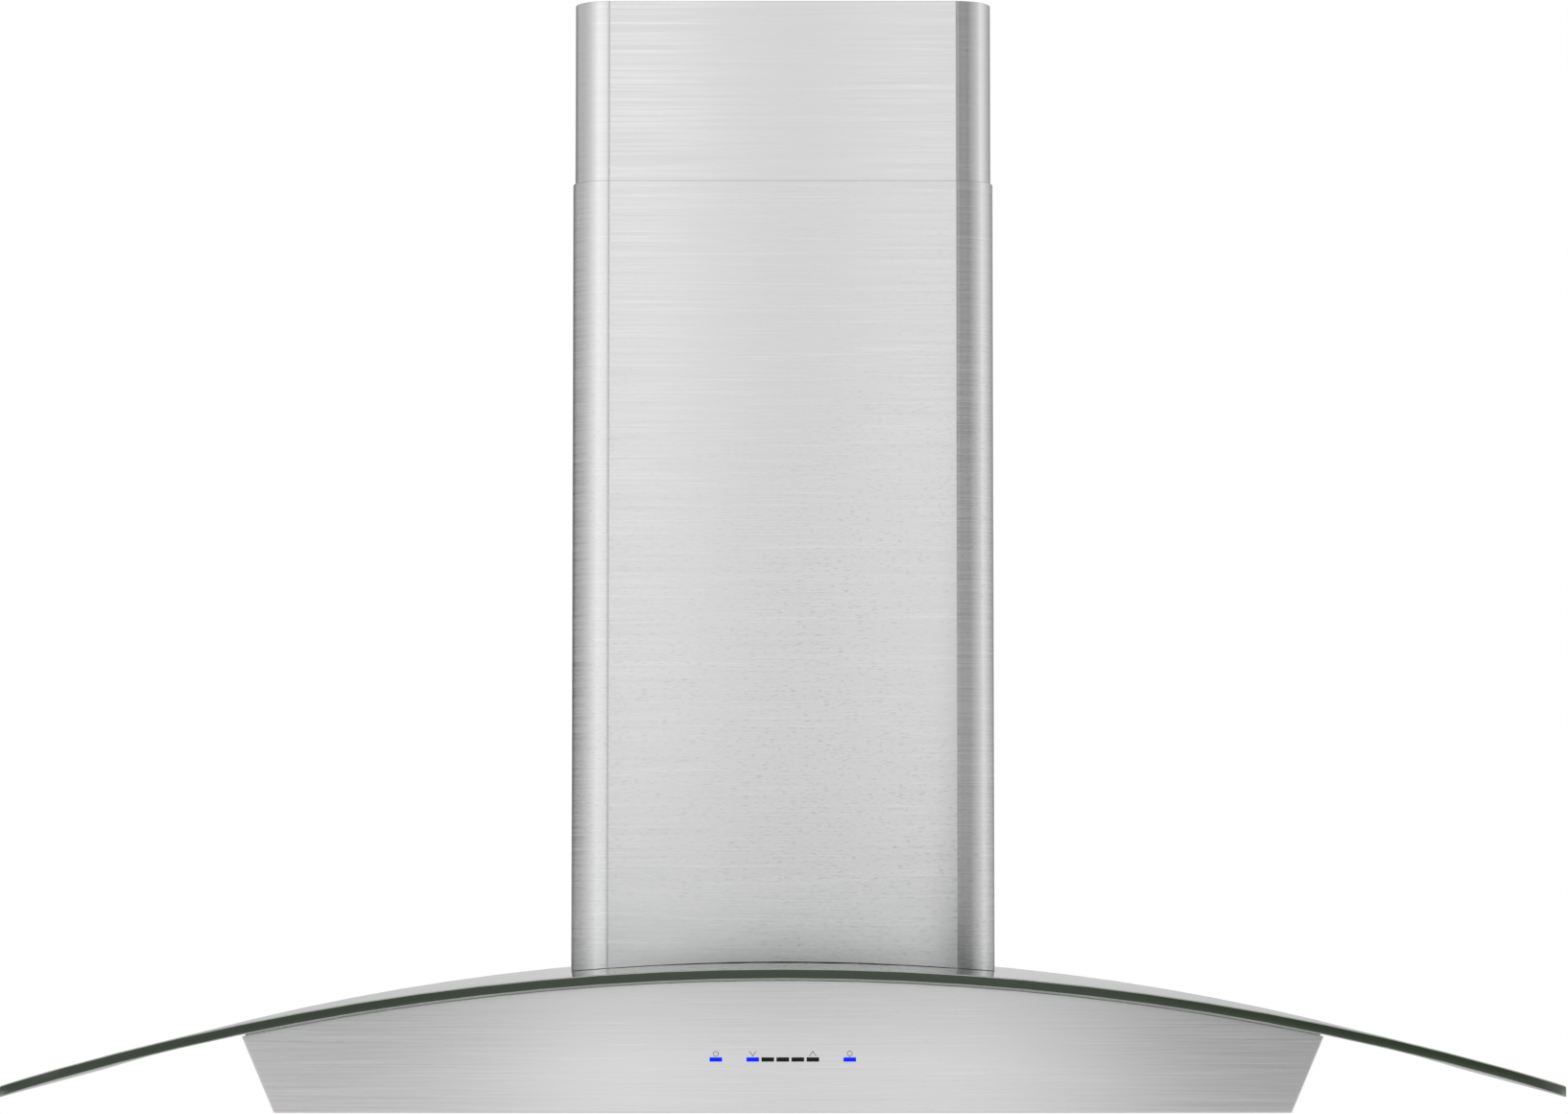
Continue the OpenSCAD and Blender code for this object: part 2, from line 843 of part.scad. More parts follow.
module impeller() {
    r_mid = impeller_r - blade_arc_r;
    color(zinc) on_shaft() difference() {
        union() {
            translate([0, 0, -disc_t / 2]) cylinder(h = disc_t, r = impeller_r);
            translate([0, 0, -hub_l / 2]) cylinder(h = hub_l, r = hub_r);
            for (z = [-impeller_w / 2, impeller_w / 2 - 1.2])
                translate([0, 0, z]) tube(impeller_r, impeller_r - 2 * blade_arc_r, 1.2);
            for (i = [0 : blade_count - 1]) rotate(i * 360 / blade_count)
                translate([r_mid, 5, -impeller_w / 2])
                    rotate_extrude(angle = 130, start = 205)
                        translate([blade_arc_r - blade_t, 0]) square([blade_t, impeller_w]);
        }
        translate([0, 0, -hub_l]) cylinder(h = 2 * hub_l, r = shaft_r + run_gap);
    }
}

module motor_shaft() {
    color(steel) on_shaft() translate([0, 0, motor_left_x - 4])
        cylinder(h = hub_l / 2 + 12 - motor_left_x, r = shaft_r);
}

module impeller_nut() {
    color(zinc) on_shaft() translate([0, 0, hub_l / 2 + 0.2]) difference() {
        cylinder(h = 6, r = 7.5, $fn = 6);
        translate([0, 0, -cut]) cylinder(h = 6 + 2 * cut, r = shaft_r + run_gap);
    }
}

module motor() {
    color([0.25, 0.26, 0.28]) on_shaft() difference() {
        union() {
            translate([0, 0, motor_left_x + 8]) cylinder(h = motor_l - 16, r = motor_r);
            for (z = [motor_left_x, motor_right_x - 8])
                translate([0, 0, z]) cylinder(h = 8, r = motor_r - 4);
        }
        translate([0, 0, motor_left_x - cut]) cylinder(h = motor_l + 2 * cut, r = shaft_r + 0.6);
        translate([0, 0, motor_left_x - cut]) cylinder(h = bearing_l + cut, r = bearing_r);
        translate([0, 0, motor_right_x - bearing_l]) cylinder(h = bearing_l + cut, r = bearing_r);
    }
}

module motor_bearings() {
    color(steel) on_shaft() for (z = [motor_left_x, motor_right_x - bearing_l + 0.2])
        translate([0, 0, z]) tube(bearing_r - 0.05, shaft_r + run_gap, bearing_l - 0.2);
}

// Three arms on a band round the motor, with feet on the scroll's left side
module at_arms() {
    for (a = [0 : 120 : 240]) on_shaft() rotate(180 + a) children();
}

module at_motor_screws() {
    at_arms() translate([arm_r + 6, 0, -scroll_w / 2 - scroll_t - 1.5]) rotate([180, 0, 0]) children();
}

module motor_bracket() {
    foot_x = -scroll_w / 2 - scroll_t;
    color(zinc) difference() {
        union() {
            on_shaft() translate([0, 0, arm_x + 3]) tube(motor_r + band_t, motor_r + seat_gap, band_w);
            at_arms() {
                box3([motor_r + 1, -arm_w / 2, arm_x + 3], [arm_r, arm_w / 2, arm_x + 5]);
                box3([arm_r - 2, -arm_w / 2, arm_x + 3], [arm_r, arm_w / 2, foot_x]);
                box3([arm_r - 2, -arm_w / 2, foot_x - 1.5], [arm_r + 12, arm_w / 2, foot_x]);
            }
        }
        at_motor_screws() small_hole();
    }
}

module motor_screws() {
    color(zinc) at_motor_screws() small_screw();
}

module capacitor() {
    x = box_w / 2 - sheet - capacitor_r - rest_gap;
    color([0.85, 0.85, 0.83]) translate([x, box_front_y + capacitor_inset, scroll_z]) {
        cylinder(h = capacitor_h, r = capacitor_r);
        for (s = [-1, 1]) translate([0, s * capacitor_r / 2, capacitor_h - cut])
            cylinder(h = terminal_h + cut, r = terminal_r);
    }
}

// Outlet collar with its two-leaf damper

module at_collar_screws() {
    for (a = [45 : 90 : 315]) translate([0, collar_y, box_top_z + sheet])
        rotate(a) translate([collar_r + collar_flange_w / 2, 0, 0]) children();
}

module outlet_collar() {
    inner = collar_r - collar_t;
    color(zinc) difference() {
        union() {
            translate([0, collar_y, box_top_z]) {
                tube(collar_r, inner, collar_h);
                tube(collar_r + collar_flange_w, inner, sheet);
            }
            translate([0, collar_y, ledge_z]) tube(collar_r - collar_t / 2, inner - ledge_w, ledge_t);
        }
        translate([0, collar_y, flap_z]) rotate([90, 0, 0])
            cylinder(h = 3 * collar_r, r = pin_r + run_gap, center = true);
        at_collar_screws() small_hole();
    }
}

module collar_screws() {
    color(zinc) at_collar_screws() small_screw();
}

module damper_pin() {
    color(steel) translate([0, collar_y, flap_z]) rotate([90, 0, 0])
        cylinder(h = 2 * collar_r - rest_gap, r = pin_r, center = true);
}

// A half disc on the +X side, with knuckles on the pin at the given places along it
module damper_flap(knuckle_ys) {
    translate([0, collar_y, flap_z]) difference() {
        union() {
            intersection() {
                translate([0, 0, -flap_t / 2]) cylinder(h = flap_t, r = flap_r);
                box3([flap_edge, -flap_r, -flap_t], [flap_r, flap_r, flap_t]);
            }
            for (y = knuckle_ys) translate([0, y, 0]) {
                rotate([90, 0, 0]) cylinder(h = knuckle_l, r = knuckle_r, center = true);
                box3([0, -knuckle_l / 2, -flap_t / 2], [flap_edge + 2, knuckle_l / 2, flap_t / 2]);
            }
        }
        rotate([90, 0, 0]) cylinder(h = 3 * flap_r, r = pin_r + run_gap, center = true);
    }
}

module damper_flap_right() {
    color(zinc) damper_flap([-knuckle_y, knuckle_y / 2]);
}

module damper_flap_left() {
    color(zinc) mirror([1, 0, 0]) damper_flap([-knuckle_y / 2, knuckle_y]);
}

// Grease filters

module filter_frame(side) {
    half = filter_w / 2;
    rear = filter_rear_y;
    front = filter_front_y;
    color(steel) translate([side * filter_x, 0, 0]) difference() {
        union() {
            difference() {
                box3([-half, front, filter_z], [half, rear, filter_top_z]);
                box3(
                    [rail_w - half, front + rail_w, 0],
                    [half - rail_w, rear - rail_w, filter_top_z + cut]
                );
                box3(
                    [filter_sheet - half, front + filter_sheet, filter_z + filter_sheet],
                    [half - filter_sheet, rear - filter_sheet, filter_top_z - filter_sheet]
                );
            }
            box3([-housing_w / 2, front, filter_z], [housing_w / 2, front + housing_l, filter_top_z]);
            for (x = [-half / 2, half / 2]) box3(
                [x - tab_w / 2, rear - filter_sheet, tongue_z],
                [x + tab_w / 2, rear + tab_reach, tongue_z + tab_t]
            );
        }
        latch_pocket();
    }
}

module latch_pocket() {
    y0 = filter_front_y + latch_wall;
    ear = pocket_w / 2 + latch_ear + rest_gap;
    slot = tongue_w / 2 + rest_gap;
    box3([-pocket_w / 2, y0, 0], [pocket_w / 2, y0 + pocket_l, filter_top_z - latch_wall]);
    box3([-ear, y0, ear_z - rest_gap], [ear, y0 + pocket_l, ear_z + latch_ear + rest_gap]);
    box3(
        [-slot, filter_front_y - cut, tongue_z - rest_gap],
        [slot, y0 + cut, tongue_z + tongue_t + rest_gap]
    );
}

module filter_latch(side) {
    ear = latch_w / 2 + latch_ear;
    y1 = latch_y + latch_l;
    color(black) translate([side * filter_x, 0, 0]) difference() {
        union() {
            box3([-latch_w / 2, latch_y, filter_z + rest_gap], [latch_w / 2, y1, latch_top_z]);
            box3([-ear, latch_y, ear_z], [ear, y1, ear_z + latch_ear]);
            box3(
                [-tongue_w / 2, filter_front_y - tongue_reach, tongue_z],
                [tongue_w / 2, latch_y + 2, tongue_z + tongue_t]
            );
        }
        box3([-grip_half, latch_y + 4, 0], [grip_half, y1 - 2, latch_top_z - latch_wall]);
        both_sides() translate([spring_x, y1 + cut, spring_z])
            rotate([90, 0, 0]) cylinder(h = spring_hole_l + cut, r = spring_hole_r);
    }
}

// A round wire wound along Z; each end is ground flat
module coil_spring(l, r, wire_r, turns) {
    rise = l / turns;
    linear_extrude(height = l, twist = -360 * turns, slices = 12 * turns, $fn = 6) polygon([
        for (a = [0 : 60 : 300])
            let (turn = wire_r * cos(a) * 360 / rise, reach = r + wire_r * sin(a))
                [reach * cos(turn), reach * sin(turn)]
    ]);
}

// Two springs push a latch forward, out of its pocket
module latch_springs(side) {
    y0 = latch_y + latch_l - spring_hole_l + seat_gap;
    color(steel) translate([side * filter_x, 0, 0]) both_sides()
        translate([spring_x, pocket_rear_y - seat_gap, spring_z]) rotate([90, 0, 0])
            coil_spring(pocket_rear_y - seat_gap - y0, spring_r, spring_wire_r, spring_turns);
}

// A trough: a flat web with two legs, facing up, or down when turned over
module baffle_section(z_web, up) {
    h = baffle_w / 2;
    translate([0, z_web]) scale([1, up]) polygon([
        [-h, 0], [h, 0], [h, baffle_leg], [h - baffle_t, baffle_leg],
        [h - baffle_t, baffle_t], [baffle_t - h, baffle_t], [baffle_t - h, baffle_leg], [-h, baffle_leg],
    ]);
}

// Two rows of troughs, the upper row turned over and set half a pitch across
module filter_baffles(side) {
    gap = 0.2;
    rear = filter_rear_y - filter_sheet - gap;
    rows = [
        [baffle_count, filter_z + filter_sheet + gap, 1],
        [baffle_count - 1, filter_top_z - filter_sheet - gap, -1],
    ];
    color(steel) translate([side * filter_x, 0, 0]) for (row = rows, i = [0 : row[0] - 1]) {
        x = (i - (row[0] - 1) / 2) * baffle_pitch;
        near_latch = abs(x) < (housing_w + baffle_w) / 2 + gap;
        front = filter_front_y + gap + (near_latch ? housing_l : filter_sheet);
        translate([x, 0, 0]) along_y(front, rear) baffle_section(row[1], row[2]);
    }
}

module filter_frame_left() {
    filter_frame(-1);
}

module filter_frame_right() {
    filter_frame(1);
}

module filter_latch_left() {
    filter_latch(-1);
}

module filter_latch_right() {
    filter_latch(1);
}

module latch_springs_left() {
    latch_springs(-1);
}

module latch_springs_right() {
    latch_springs(1);
}

module filter_baffles_left() {
    filter_baffles(-1);
}

module filter_baffles_right() {
    filter_baffles(1);
}

// Lamps

module lamp_bezels() {
    neck = lamp_r - 0.3;
    seat = lamp_r - bezel_wall - 2;
    color(steel) at_lamps() rotate_extrude() polygon([
        [seat, 0], [lamp_r + bezel_w, 0.6], [lamp_r + bezel_w, sheet], [neck, sheet],
        [neck, sheet + bezel_h], [neck - bezel_wall, sheet + bezel_h],
        [neck - bezel_wall, 2 * sheet], [seat, 2 * sheet],
    ]);
}

module lamp_lenses() {
    color([0.95, 0.95, 0.9]) at_lamps() translate([0, 0, 2 * sheet])
        cylinder(h = lens_t, r = lamp_r - bezel_wall - 0.6);
}

module lamp_bodies() {
    base = 2 * sheet + lens_t;
    r = lamp_r - bezel_wall - 0.6;
    color(zinc) at_lamps() translate([0, 0, base]) {
        cylinder(h = 4, r = r);
        cylinder(h = 4 + fin_count * fin_pitch, r = r / 2);
        for (i = [1 : fin_count]) translate([0, 0, 4 + i * fin_pitch - 1.6]) cylinder(h = 1.6, r = r - 2);
    }
}

// Touch controls behind the front sheet

module lit_bars() {
    color([0.05, 0.15, 0.95]) bar_cuts(lit_xs, 0, front_y, board_y);
}

module unlit_bars() {
    color(black) bar_cuts(unlit_xs, 0, front_y, board_y);
}

module at_board_screws() {
    for (s = [-1, 1], z = [-1, 1])
        translate([s * (board_w / 2 - 4), board_y, bar_z + z * (board_h / 2 - 4)])
            rotate([90, 0, 0]) children();
}

module control_board() {
    color([0.05, 0.3, 0.15]) difference() {
        box3(
            [-board_w / 2, board_y, bar_z - board_h / 2],
            [board_w / 2, board_y + board_t, bar_z + board_h / 2]
        );
        at_board_screws() small_hole();
    }
}

module board_screws() {
    color(zinc) at_board_screws() small_screw(board_screw_l);
}

module board_carrier() {
    half = board_w / 2 + tray_gap;
    tall = board_h / 2 + tray_gap;
    back = inner_front_y + tray_depth;
    color([0.2, 0.2, 0.22]) difference() {
        union() {
            difference() {
                box3(
                    [-half - tray_wall, inner_front_y, bar_z - tall - tray_wall],
                    [half + tray_wall, back, bar_z + tall + tray_wall]
                );
                box3(
                    [-half, inner_front_y - cut, bar_z - tall],
                    [half, back - tray_wall, bar_z + tall]
                );
            }
            at_board_screws() translate([0, 0, board_y - back])
                cylinder(h = back - board_y - board_t, r = post_r);
        }
        at_board_screws() small_hole(2 * hole_reach);
    }
}

// Wiring box round the knock-out

module junction_box() {
    t = junction_wall;
    color(zinc) difference() {
        box3([junction_x0, junction_front, junction_z0], [junction_x1, -sheet, junction_z1]);
        box3(
            [junction_x0 + t, junction_front - cut, junction_z0 + t],
            [junction_x1 - t, -sheet - t, junction_z1 - t]
        );
        translate([knockout_x, -sheet, knockout_z]) rotate([90, 0, 0])
            cylinder(h = 4 * t, r = knockout_r, center = true);
    }
}

module at_junction_screws() {
    for (x = [junction_x0 + 8, junction_x1 - 8])
        translate([x, junction_front - junction_wall, knockout_z]) rotate([90, 0, 0]) children();
}

module junction_box_lid() {
    color(zinc) difference() {
        union() {
            box3(
                [junction_x0, junction_front - junction_wall, junction_z0],
                [junction_x1, junction_front, junction_z1]
            );
            at_junction_screws() translate([0, 0, -12]) cylinder(h = 12, r = 4);
        }
        at_junction_screws() small_hole(2 * hole_reach);
    }
}

module junction_screws() {
    color(zinc) at_junction_screws() small_screw(lid_screw_l);
}

// Three clamping holes for the house cable's wires
module terminal_block() {
    x0 = junction_x0 + 5;
    z0 = knockout_z - block_h / 2;
    back = -sheet - junction_wall;
    color(black) difference() {
        box3([x0, back - 18, z0], [x0 + block_l, back, z0 + block_h]);
        for (i = [-1 : 1]) translate([x0 + block_l / 2 + i * 7, back - 10, z0 - cut])
            cylinder(h = block_h + 2 * cut, r = 2);
    }
}

// A lead along one axis, run on past b by over so that the next, thinner lead starts inside it
module lead(a, b, r, over = 0) {
    d = b - a;
    upright = d.z > 0 ? 0 : 180;
    turn = d.x == 0 && d.y == 0 ? [0, upright, 0] : [-sign(d.y) * 90, sign(d.x) * 90, 0];
    translate(a) rotate(turn) cylinder(h = norm(d) + over, r = r);
}

module wiring() {
    near_wall = -25;
    near_front = -38;
    low = 40;
    lamp_top = 2 * sheet + lens_t + 4 + fin_count * fin_pitch;
    board_x = -20;
    drop_y = inner_front_y + tray_depth + 11;
    color([0.75, 0.75, 0.73]) {
        // to the motor
        lead([junction_x1, near_wall, low], [motor_lead_x, near_wall, low], 2.5, 2.5);
        lead([motor_lead_x, near_wall, low], [motor_lead_x, near_wall, motor_lead_z], 2.1, 2.1);
        lead([motor_lead_x, near_wall, motor_lead_z], [motor_lead_x, motor_lead_y, motor_lead_z], 1.7, 1.7);
        lead([motor_lead_x, motor_lead_y, motor_lead_z], [motor_left_x, motor_lead_y, motor_lead_z], 1.3);
        // forward to the lamps and the touch controls
        lead([junction_x1, near_front, low], [loom_x, near_front, low], 2.5, 2.5);
        lead([loom_x, near_front, low], [loom_x, near_front, loom_z], 2.2, 2.2);
        lead([loom_x, near_front, loom_z], [loom_x, lamp_y, loom_z], 2, 2);
        for (x = [-lamp_x, lamp_x]) {
            lead([loom_x, lamp_y, loom_z], [x, lamp_y, loom_z], 1.7, 1.7);
            lead([x, lamp_y, loom_z], [x, lamp_y, lamp_top], 1.4);
        }
        lead([board_x, lamp_y, loom_z], [board_x, drop_y, loom_z], 1.4, 1.4);
        lead([board_x, drop_y, loom_z], [board_x, drop_y, bar_z], 1.2, 1.2);
        lead([board_x, drop_y, bar_z], [board_x, inner_front_y + tray_depth, bar_z], 1);
    }
}

hood_shell();
top_panel();
back_panel();
bottom_panel();
glass_canopy();
glass_seal();
glass_clamps();
clamp_screws();
lower_duct_cover();
upper_duct_cover();
upper_cover_bracket();
bracket_screws();
lower_cover_clips();
clip_screws();
blower_box();
blower_box_cover();
box_cover_screws();
blower_screws();
scroll_wrap();
scroll_sides();
inlet_rings();
outlet_transition();
impeller();
motor_shaft();
impeller_nut();
motor();
motor_bearings();
motor_bracket();
motor_screws();
capacitor();
outlet_collar();
collar_screws();
damper_pin();
damper_flap_left();
damper_flap_right();
filter_frame_left();
filter_baffles_left();
filter_latch_left();
latch_springs_left();
filter_frame_right();
filter_baffles_right();
filter_latch_right();
latch_springs_right();
lamp_bezels();
lamp_lenses();
lamp_bodies();
control_board();
board_carrier();
board_screws();
lit_bars();
unlit_bars();
junction_box();
junction_box_lid();
junction_screws();
terminal_block();
wiring();
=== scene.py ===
"""Wall mount range hood: finishes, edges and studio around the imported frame."""

import json
import math

import bmesh
import bpy
from mathutils import Matrix, Vector


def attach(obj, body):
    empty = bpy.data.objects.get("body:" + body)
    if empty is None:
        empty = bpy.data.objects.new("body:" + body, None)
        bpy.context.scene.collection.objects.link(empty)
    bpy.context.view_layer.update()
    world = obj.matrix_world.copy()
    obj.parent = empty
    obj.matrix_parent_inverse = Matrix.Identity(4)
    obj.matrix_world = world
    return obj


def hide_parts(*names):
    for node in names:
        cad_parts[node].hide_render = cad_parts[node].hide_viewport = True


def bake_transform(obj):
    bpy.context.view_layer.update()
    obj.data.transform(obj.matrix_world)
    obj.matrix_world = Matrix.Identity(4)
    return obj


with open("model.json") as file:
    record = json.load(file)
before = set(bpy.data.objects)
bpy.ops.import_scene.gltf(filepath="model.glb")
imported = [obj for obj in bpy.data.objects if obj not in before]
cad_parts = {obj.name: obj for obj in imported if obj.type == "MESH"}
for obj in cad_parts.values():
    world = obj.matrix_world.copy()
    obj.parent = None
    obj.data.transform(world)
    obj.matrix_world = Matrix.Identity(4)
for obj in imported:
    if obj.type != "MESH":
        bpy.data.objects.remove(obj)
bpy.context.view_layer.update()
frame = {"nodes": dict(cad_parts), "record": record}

MM = 0.001
GLASS_R = 1521 * MM
GLASS_TOP_Z = 82 * MM
FOOT_GAP = 0.3 * MM  # under the lower cover, as the frame has it
SHEET = 1 * MM
BAFFLE_SHEET = 0.8 * MM
BEND_R = 0.8 * MM
BAFFLE_BEND_R = 0.7 * MM


# Camera, solved from the photograph

PHOTO_W_PX = 1634
FOCAL_PX = 5303.6
SENSOR_MM = 36.0
EYE = (0.7 * MM, -3400 * MM, 128.2 * MM)
EYE_TILT = 3.711  # degrees above the horizon


def add_camera():
    data = bpy.data.cameras.new("photo_camera")
    data.sensor_width = SENSOR_MM
    data.lens = FOCAL_PX * SENSOR_MM / PHOTO_W_PX
    data.clip_start, data.clip_end = 0.1, 60.0
    camera = bpy.data.objects.new("photo_camera", data)
    camera.location = EYE
    camera.rotation_euler = (math.radians(90 + EYE_TILT), 0, 0)
    bpy.context.scene.collection.objects.link(camera)
    bpy.context.scene.camera = camera


add_camera()


# Materials

def srgb(code, alpha=1.0):
    """A hex colour as Blender's linear values."""
    parts = [int(code[i:i + 2], 16) / 255 for i in (1, 3, 5)]
    linear = [p / 12.92 if p <= 0.04045 else ((p + 0.055) / 1.055) ** 2.4 for p in parts]
    return (*linear, alpha)


def add(tree, kind, inputs=None, **settings):
    """A node with its settings; each input is a value or another node's output."""
    made = tree.nodes.new(kind)
    for name, value in settings.items():
        setattr(made, name, value)
    for name, value in (inputs or {}).items():
        if isinstance(value, bpy.types.NodeSocket):
            tree.links.new(value, made.inputs[name])
        else:
            made.inputs[name].default_value = value
    return made


def new_material(name, **sockets):
    """A material, its node tree and its shader, with these values on the shader's own sockets."""
    material = bpy.data.materials.new(name)
    material.use_nodes = True
    tree = material.node_tree
    shader = tree.nodes["Principled BSDF"]
    for socket, value in sockets.items():
        shader.inputs[socket.replace("_", " ")].default_value = value
    return material, tree, shader


def pattern(tree, repeats):
    """Object coordinates, in repeats for each metre along X, Y and Z."""
    place = add(tree, "ShaderNodeTexCoord")
    return add(tree, "ShaderNodeMapping", {
        "Vector": place.outputs["Object"], "Scale": repeats}).outputs["Vector"]


def noise(tree, repeats, **inputs):
    """Noise over the object, from 0 to 1."""
    return add(tree, "ShaderNodeTexNoise", {
        "Vector": pattern(tree, repeats), "Scale": 1.0, **inputs}).outputs["Fac"]


def object_axes(tree):
    """X, Y and Z of the point on the object, in metres."""
    return add(tree, "ShaderNodeSeparateXYZ", {
        "Vector": add(tree, "ShaderNodeTexCoord").outputs["Object"]}).outputs


def spread(tree, value, low, high, start=0.3, end=0.7):
    """Maps a pattern's start..end onto low..high."""
    return add(tree, "ShaderNodeMapRange", {
        "Value": value, "From Min": start, "From Max": end, "To Min": low, "To Max": high,
    }).outputs["Result"]


WORN_UP_TO = 250 * MM
LEAST_WORN_FROM = 550 * MM
LEAST_WEAR = 0.25


def lower_down(tree):
    """How worn the lower cover's sheet is: 1 at its foot, falling to the least wear at its top."""
    return spread(tree, object_axes(tree)["Z"], 1.0, LEAST_WEAR, WORN_UP_TO, LEAST_WORN_FROM)


def painted_canopy_shade(tree, value, face, reach, depth, power, half):
    """Paints shade into the steel's colour towards the canopy, standing for the canopy's shadow and
    its dark reflection, set to the photo's tones: darker from one face of the glass over a reach,
    and by a depth that fades towards half the width. All in metres, but for the depth and the power."""
    place = object_axes(tree)
    across = add(tree, "ShaderNodeMath", {0: place["X"], 1: place["X"]},
                 operation="MULTIPLY").outputs[0]
    level = add(tree, "ShaderNodeMath", {0: across, 1: 0.5 / GLASS_R, 2: place["Z"]},
                operation="MULTIPLY_ADD").outputs[0]
    near = add(tree, "ShaderNodeMath", {
        0: spread(tree, level, 1.0, 0.0, face, face + reach), 1: power}, operation="POWER")
    shade = add(tree, "ShaderNodeMath", {
        0: near.outputs[0], 1: spread(tree, across, depth, 0.0, 0.0, half ** 2)},
        operation="MULTIPLY")
    left = add(tree, "ShaderNodeMath", {0: 1.0, 1: shade.outputs[0]}, operation="SUBTRACT")
    return add(tree, "ShaderNodeMath", {0: value, 1: left.outputs[0]},
               operation="MULTIPLY").outputs[0]


# Repeats for each metre: scratches run along the two small values
SHEET_GRAIN = (10, 10, 1000)
PANEL_GRAIN = (10, 1000, 10)
FILTER_GRAIN = (1000, 10, 1000)
ALONG_MOST = 500  # no direction along the scratches repeats as often as this


def beside_grain(grain, across, along):
    """A grain's repeats with those across its scratches scaled, and others along them."""
    return [g * across if g > ALONG_MOST else along for g in grain]


def brushed_stainless(name, grain, tint="#e4e4e5", roughness=0.20, scratch=0.05,
                      flecks=0.12, canopy=None, low_wear=False):
    """Stainless sheet brushed with a fine abrasive belt: long scratches along the grain, up to a
    millimetre apart and so coarser than real ones, a few of them painted brighter as glints, with
    short darker flecks."""
    material, tree, shader = new_material(
        name, Metallic=1.0, Anisotropic=1.0, Anisotropic_Rotation=0.25)
    fine = noise(tree, grain, Detail=3.0, Roughness=0.6)
    broad = noise(tree, [g * 0.3 for g in grain], Detail=1.0)
    # The scratches are the grain; this picks a few of them to be painted lighter, as glints, and
    # they are added into the streaks below
    bright = noise(tree, beside_grain(grain, across=1.3, along=14), Detail=1.0)
    fleck = noise(tree, beside_grain(grain, across=0.9, along=240), Detail=2.0, Roughness=0.6)
    patch = noise(tree, (9, 9, 5), Detail=1.0)
    scratches = spread(tree, fine, 1 - scratch, 1 + 0.8 * scratch)
    streaks = add(tree, "ShaderNodeMath", {
        0: spread(tree, broad, 0.994, 1.004),
        1: spread(tree, bright, 0.0, 0.9 * scratch, 0.60, 0.72)}, operation="ADD")
    depth = add(tree, "ShaderNodeMath", {
        0: spread(tree, fleck, -flecks, 0.0, 0.30, 0.45),
        1: spread(tree, patch, 0.25, 1.0)}, operation="MULTIPLY")
    if low_wear:
        depth = add(tree, "ShaderNodeMath", {0: depth.outputs[0], 1: lower_down(tree)},
                    operation="MULTIPLY")
    tone = add(tree, "ShaderNodeMath", {0: scratches, 1: streaks.outputs[0], 2: depth.outputs[0]},
               operation="MULTIPLY_ADD")
    # Painted shade: with a canopy given, the tone is drawn darker towards the glass, for the
    # canopy's shadow and dark reflection
    level = painted_canopy_shade(tree, tone.outputs[0], *canopy) if canopy else tone.outputs[0]
    colour = add(tree, "ShaderNodeMix", {
        "A": (0, 0, 0, 1), "B": srgb(tint), "Factor": level},
        data_type="RGBA", clamp_factor=False)
    tree.links.new(colour.outputs["Result"], shader.inputs["Base Color"])
    tree.links.new(spread(tree, fine, roughness - 0.03, roughness + 0.04),
                   shader.inputs["Roughness"])
    bump = add(tree, "ShaderNodeBump", {
        "Height": fine, "Strength": 0.12, "Distance": 0.02 * MM})
    tree.links.new(bump.outputs["Normal"], shader.inputs["Normal"])
    return material


def galvanised_sheet():
    """Hot-dip galvanised sheet: a spangle of zinc crystals about 9 mm across, each a slightly
    different grey."""
    material, tree, shader = new_material("galvanised_sheet", Metallic=1.0)
    crystals = add(tree, "ShaderNodeTexVoronoi", {
        "Vector": pattern(tree, (110, 110, 110)), "Scale": 1.0, "Randomness": 1.0})
    grey = add(tree, "ShaderNodeSeparateColor", {"Color": crystals.outputs["Color"]})
    colour = add(tree, "ShaderNodeMix", {
        "A": srgb("#a4a8ab"), "B": srgb("#c3c6c8"), "Factor": grey.outputs["Red"]},
        data_type="RGBA")
    tree.links.new(colour.outputs["Result"], shader.inputs["Base Color"])
    tree.links.new(spread(tree, grey.outputs["Green"], 0.36, 0.52, 0.0, 1.0),
                   shader.inputs["Roughness"])
    return material


def speckled(name, code, depth=0.08, grain_mm=0.6, **sockets):
    """A plain finish whose colour and roughness vary a little with the grain of its surface."""
    material, tree, shader = new_material(name, **sockets)
    grain = noise(tree, (1 / (grain_mm * MM),) * 3, Detail=2.0)
    colour = add(tree, "ShaderNodeMix", {
        "A": srgb(code), "B": (0, 0, 0, 1), "Factor": spread(tree, grain, 0.0, depth)},
        data_type="RGBA")
    tree.links.new(colour.outputs["Result"], shader.inputs["Base Color"])
    rough = shader.inputs["Roughness"].default_value
    tree.links.new(spread(tree, grain, rough * 0.9, min(1, rough * 1.15)),
                   shader.inputs["Roughness"])
    bump = add(tree, "ShaderNodeBump", {
        "Height": grain, "Strength": 0.2, "Distance": 0.02 * MM})
    tree.links.new(bump.outputs["Normal"], shader.inputs["Normal"])
    return material


def toughened_glass():
    """Clear float glass, toughened: a faint green from the iron in it."""
    material, _, shader = new_material(
        "toughened_glass", Roughness=0.015, IOR=1.52, Transmission_Weight=1.0)
    shader.inputs["Base Color"].default_value = srgb("#eff6f2")
    return material


def polished_glass_edge():
    """The edge of float glass: the eye looks through half a metre of it, so it is a dark green."""
    return speckled("polished_glass_edge", "#2a3327", depth=0.1, grain_mm=4, Roughness=0.12,
                    IOR=1.52)


def ground_glass_arris():
    """The corner between a pane's face and its edge, ground matt by hand."""
    return speckled("ground_glass_arris", "#8f978e", depth=0.15, grain_mm=1.5, Roughness=0.45,
                    IOR=1.52)


